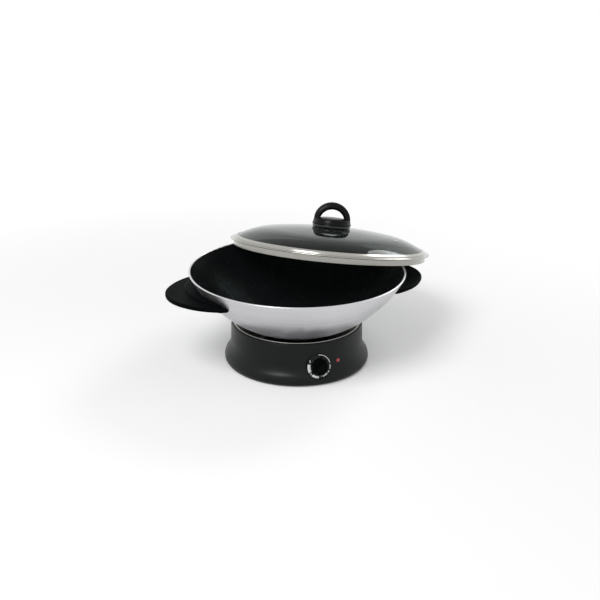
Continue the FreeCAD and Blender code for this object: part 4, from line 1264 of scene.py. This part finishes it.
def dome_height(lid, distance, inset=0.0):
    """Height of the dome over the band's seat, for its outside or a surface inside it."""
    crown = lid.crown_radius - inset
    lean = math.asin(lid.shoulder_start / lid.crown_radius)
    crown_centre = lid.height - lid.crown_radius
    if distance <= crown * math.sin(lean):
        return crown_centre + math.sqrt(crown ** 2 - distance ** 2)
    offset = lid.crown_radius - lid.shoulder_radius
    shoulder = lid.shoulder_radius - inset
    side = distance - offset * math.sin(lean)
    return crown_centre + offset * math.cos(lean) + math.sqrt(shoulder ** 2 - side ** 2)


class WOK_OT_glass_dome(bpy.types.Operator):
    """Build the smoked glass of the lid."""

    bl_idname = "wok.glass_dome"
    bl_label = "Glass dome"

    def execute(self, context):
        lid = context.scene.wok_lid
        finish = smoked_glass("smoked_glass", context.scene.wok_finish.glass, on_lid)
        glass = turned("glass_dome", self.profile(lid), 256)
        piece("glass_dome", glass, finish, "lid", ["lid_glass"], on_lid)
        return {"FINISHED"}

    def profile(self, lid):
        hole = 4.0 * MM
        steps = 72
        bevel = 1.5 * MM
        edge = lid.glass_radius
        under_edge = edge - bevel
        outline = Outline(hole, dome_height(lid, hole, lid.thickness))
        for k in range(1, steps + 1):
            distance = hole + (under_edge - hole) * k / steps
            outline.line(distance, dome_height(lid, distance, lid.thickness))
        outline.swell(0.3 * MM, edge, dome_height(lid, edge) - lid.thickness / 2, 4)
        outline.line(edge, dome_height(lid, edge) - 0.6 * MM)
        for k in range(steps + 1):
            distance = edge - 0.4 * MM - (edge - 0.4 * MM - hole) * k / steps
            outline.line(distance, dome_height(lid, distance))
        return outline


class WOK_OT_steel_band(bpy.types.Operator):
    """Build the rolled steel band round the glass, and the steam vent."""

    bl_idname = "wok.steel_band"
    bl_label = "Steel band and steam vent"

    def execute(self, context):
        lid = context.scene.wok_lid
        steel = context.scene.wok_finish.steel
        finish = metal("polished_steel", times(steel, 0.68), 0.16, marks=900.0, depth=0.002, place=on_lid)
        band = turned("steel_band", self.band(lid), 256)
        piece("steel_band", band, finish, "lid", ["lid_band"], on_lid)
        step = 1.6 * MM
        drop = dome_height(lid, lid.vent_distance - step) - dome_height(lid, lid.vent_distance + step)
        place = turn(-95.0, "Z") @ move(lid.vent_distance, 0, dome_height(lid, lid.vent_distance))
        place = on_lid @ place @ Matrix.Rotation(math.atan2(drop, 2 * step), 4, "Y")
        vent = turned("vent_eyelet", self.eyelet(lid), 48)
        piece("vent_eyelet", vent, finish, "lid", ["steam_vent"], place)
        return {"FINISHED"}

    def band(self, lid):
        wall = lid.band_wall
        skirt = lid_skirt_radius
        glass = lid.glass_radius
        top = lid.flange
        flange_start = lid.band_radius - top / 2
        lip_inner = glass - lid.lip_width
        lip_under = dome_height(lid, glass) + 0.05 * MM
        ledge = dome_height(lid, glass - 2 * MM, lid.thickness) - wall
        outline = Outline(skirt - wall, -lid_skirt_depth + wall / 2)
        outline.swell(wall / 2, skirt, -lid_skirt_depth + wall / 2)
        outline.line(skirt, -0.4 * MM).swell(-0.12 * MM, skirt + 0.4 * MM, 0, 4).line(flange_start, 0)
        outline.swell(top / 2, flange_start, top, 12)
        outline.line(skirt + 1.6 * wall, top).swell(-0.35 * MM, skirt, top + 1.4 * wall, 6)
        outline.line(skirt - 0.2 * MM, lip_under + 0.4 * wall)
        outline.quarter(skirt - 1.4 * MM, lip_under + 1.1 * wall)
        outline.line(lip_inner + 0.4 * MM, dome_height(lid, lip_inner) + 0.7 * MM)
        outline.quarter(lip_inner, dome_height(lid, lip_inner) + 0.3 * MM)
        outline.line(lip_inner, dome_height(lid, lip_inner) + 0.05 * MM)
        outline.line(glass, lip_under).line(glass + 0.05 * MM, lip_under)
        outline.line(glass + 0.05 * MM, ledge).line(skirt - wall, ledge - wall)
        return outline

    def eyelet(self, lid):
        radius = 4.0 * MM
        barrel = 3.0 * MM
        hole = 1.6 * MM
        low = -lid.thickness - 0.95 * MM
        top = 0.95 * MM
        outline = Outline(hole + 0.3 * MM, low).line(radius - 0.3 * MM, low)
        outline.quarter(radius, low + 0.3 * MM).line(radius, low + 0.8 * MM).line(barrel, low + 0.8 * MM)
        outline.line(barrel, 0.15 * MM).line(radius, 0.15 * MM).line(radius, top - 0.5 * MM)
        outline.quarter(radius - 0.5 * MM, top).line(hole + 0.6 * MM, top)
        outline.quarter(hole, top - 0.6 * MM).line(hole, low + 0.3 * MM)
        return outline


class WOK_OT_lid_grip(bpy.types.Operator):
    """Build the arch-shaped grip of the lid on its glossy disc."""

    bl_idname = "wok.lid_grip"
    bl_label = "Grip of the lid"

    # The arch's section: its share of the way outwards and half its depth, from the inside out
    section = ((0.0, 0.66), (0.10, 0.80), (0.26, 1.0), (0.50, 1.0), (0.58, 0.93), (0.80, 0.86), (1.0, 0.62))

    def execute(self, context):
        knob = context.scene.wok_knob
        lid = context.scene.wok_lid
        gap = 0.05 * MM
        disc_bottom = lid.height + gap
        grip_bottom = disc_bottom + knob.disc_height + gap
        black = context.scene.wok_finish.handle
        gloss = plastic("gloss_plastic", black, 0.12, grain=500.0, depth=0.002,
                       place=on_lid, shine=0.4)
        disc_mesh = turned("knob_disc", self.disc(knob), 96)
        piece("knob_disc", disc_mesh, gloss, "lid", ["lid_knob_base"],
              on_lid @ move(0, 0, disc_bottom))
        satin = plastic("grip_plastic", black, 0.27, grain=900.0, depth=0.01, place=on_lid)
        arch = moulded("arch", [self.arch(knob), self.foot(knob)], 0.45 * MM, 3)
        piece("knob_arch", arch, satin, "lid", ["lid_knob_loop"],
              on_lid @ move(0, 0, grip_bottom) @ turn(-68.2, "Z"), 180.0)
        return {"FINISHED"}

    def disc(self, knob):
        hole = 2.7 * MM
        edge = 1.2 * MM
        groove = 0.5 * MM
        outline = Outline(hole, 0).line(knob.disc_radius - groove, 0).line(knob.disc_radius, groove)
        outline.line(knob.disc_radius, knob.disc_height - edge)
        outline.quarter(knob.disc_radius - edge, knob.disc_height).line(hole, knob.disc_height)
        return outline

    def foot(self, knob):
        edge = 1.0 * MM
        outline = Outline(0, 0).line(knob.foot_radius, 0).line(knob.foot_radius, edge)
        outline.swell(-0.6 * MM, knob.foot_radius - 3.2 * MM, 9.0 * MM)
        outline.swell(1.4 * MM, 0, knob.floor - 0.3 * MM)
        return turned("grip_foot", outline, 128)

    def arch(self, knob):
        half = knob.depth / 2
        spring = 8.0 * MM
        opening_top = knob.opening_centre + knob.opening_radius
        stations = [(Vector((knob.opening_radius, 1 * MM)), Vector((knob.foot_radius - 1.2 * MM, 1 * MM)))]
        stations.append((
            Vector((knob.opening_radius, 4 * MM)), Vector((knob.arch_radius + 0.6 * MM, 5 * MM)),
        ))
        steps = 56
        for k in range(steps + 1):
            angle = math.pi * k / steps
            inner = Vector((knob.opening_radius * math.cos(angle),
                            knob.opening_centre + (opening_top - knob.opening_centre) * math.sin(angle)))
            outer = Vector((knob.arch_radius * math.cos(angle),
                            spring + (knob.arch_height - spring) * math.sin(angle)))
            stations.append((inner, outer))
        mirrored = [(Vector((-i.x, i.y)), Vector((-o.x, o.y))) for i, o in reversed(stations[:2])]
        rings = []
        for inner, outer in stations + mirrored:
            front = [(share_out, depth * half) for share_out, depth in self.section]
            back = [(share_out, -depth) for share_out, depth in reversed(front)]
            ring = []
            for share_out, depth in front + back:
                point = inner.lerp(outer, share_out)
                ring.append(Vector((point.x, depth, point.y)))
            rings.append(ring)
        return skin("arch", rings)


class WOK_OT_inner_finishes(bpy.types.Operator):
    """Give the pieces under the housing, the bowl and the glass their finishes."""

    bl_idname = "wok.inner_finishes"
    bl_label = "Inner pieces' finishes"

    def execute(self, context):
        colours = context.scene.wok_finish
        zinc = metal("zinc_steel", (0.55, 0.55, 0.53), 0.32, marks=1800.0)
        steel = steel_finish()
        rubber = rubber_finish()
        finishes = {
            "bottom_cover": plastic("cover_plastic", times(colours.housing, 1.3), 0.5, grain=600.0, depth=0.03),
            "cover_screws": zinc,
            "thermostat_body": plastic("thermostat_case", (0.42, 0.40, 0.35), 0.55, grain=900.0),
            "thermostat_nut": zinc,
            "thermostat_spindle": zinc,
            "pilot_lamp": plastic("neon_bulb", (0.62, 0.40, 0.30), 0.10, grain=1500.0, depth=0.002),
            "cord_gland": rubber,
            "terminal_block": plastic("ceramic", (0.72, 0.69, 0.62), 0.45, grain=800.0),
            "thermal_fuse": plastic("fuse_case", (0.55, 0.52, 0.40), 0.35, grain=900.0),
            "fuse_clip": zinc,
            "element_brackets": steel,
            "element_bushings": plastic("bushing_ceramic", (0.70, 0.68, 0.63), 0.5, grain=700.0),
            "handle_bracket_right": steel,
            "handle_bracket_left": steel,
            "handle_screws": zinc,
            "lid_knob_washer": rubber,
            "lid_knob_screw": zinc,
        }
        for name, finish in finishes.items():
            cad_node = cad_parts[name]
            if not cad_node.material_slots:
                cad_node.data.materials.append(finish)
            for material_slot in cad_node.material_slots:
                material_slot.material = finish
        return {"FINISHED"}


groups = {
    "wok_base": BaseSizes,
    "wok_bowl": BowlSizes,
    "wok_handle": HandleSizes,
    "wok_lid": LidSizes,
    "wok_knob": KnobSizes,
    "wok_dial": DialSizes,
    "wok_finish": FinishColours,
    "wok_stage": StageSettings,
}

operators = (
    WOK_OT_stage,
    WOK_OT_base_housing,
    WOK_OT_underside,
    WOK_OT_control_dial,
    WOK_OT_pilot_lamp,
    WOK_OT_heating,
    WOK_OT_bowl,
    WOK_OT_handles,
    WOK_OT_glass_dome,
    WOK_OT_steel_band,
    WOK_OT_lid_grip,
    WOK_OT_inner_finishes,
)


class WOK_PT_panel(bpy.types.Panel):
    """The wok's pieces and sizes."""

    bl_idname = "WOK_PT_panel"
    bl_label = "Electric wok"
    bl_space_type = "VIEW_3D"
    bl_region_type = "UI"
    bl_category = "Wok"

    def draw(self, context):
        for operator in operators:
            self.layout.operator(operator.bl_idname)
        for name, group in groups.items():
            box = self.layout.box()
            box.label(text=group.__doc__)
            for size_name in group.__annotations__:
                box.prop(getattr(context.scene, name), size_name)


def register():
    for group in groups.values():
        bpy.utils.register_class(group)
    for name, group in groups.items():
        setattr(bpy.types.Scene, name, bpy.props.PointerProperty(type=group))
    for operator in (*operators, WOK_PT_panel):
        bpy.utils.register_class(operator)


def unregister():
    for operator in (WOK_PT_panel, *reversed(operators)):
        bpy.utils.unregister_class(operator)
    for name, group in groups.items():
        delattr(bpy.types.Scene, name)
        bpy.utils.unregister_class(group)


def main():
    register()
    for operator in operators:
        family, name = operator.bl_idname.split(".")
        getattr(getattr(bpy.ops, family), name)()


if __name__ == "__main__":
    main()
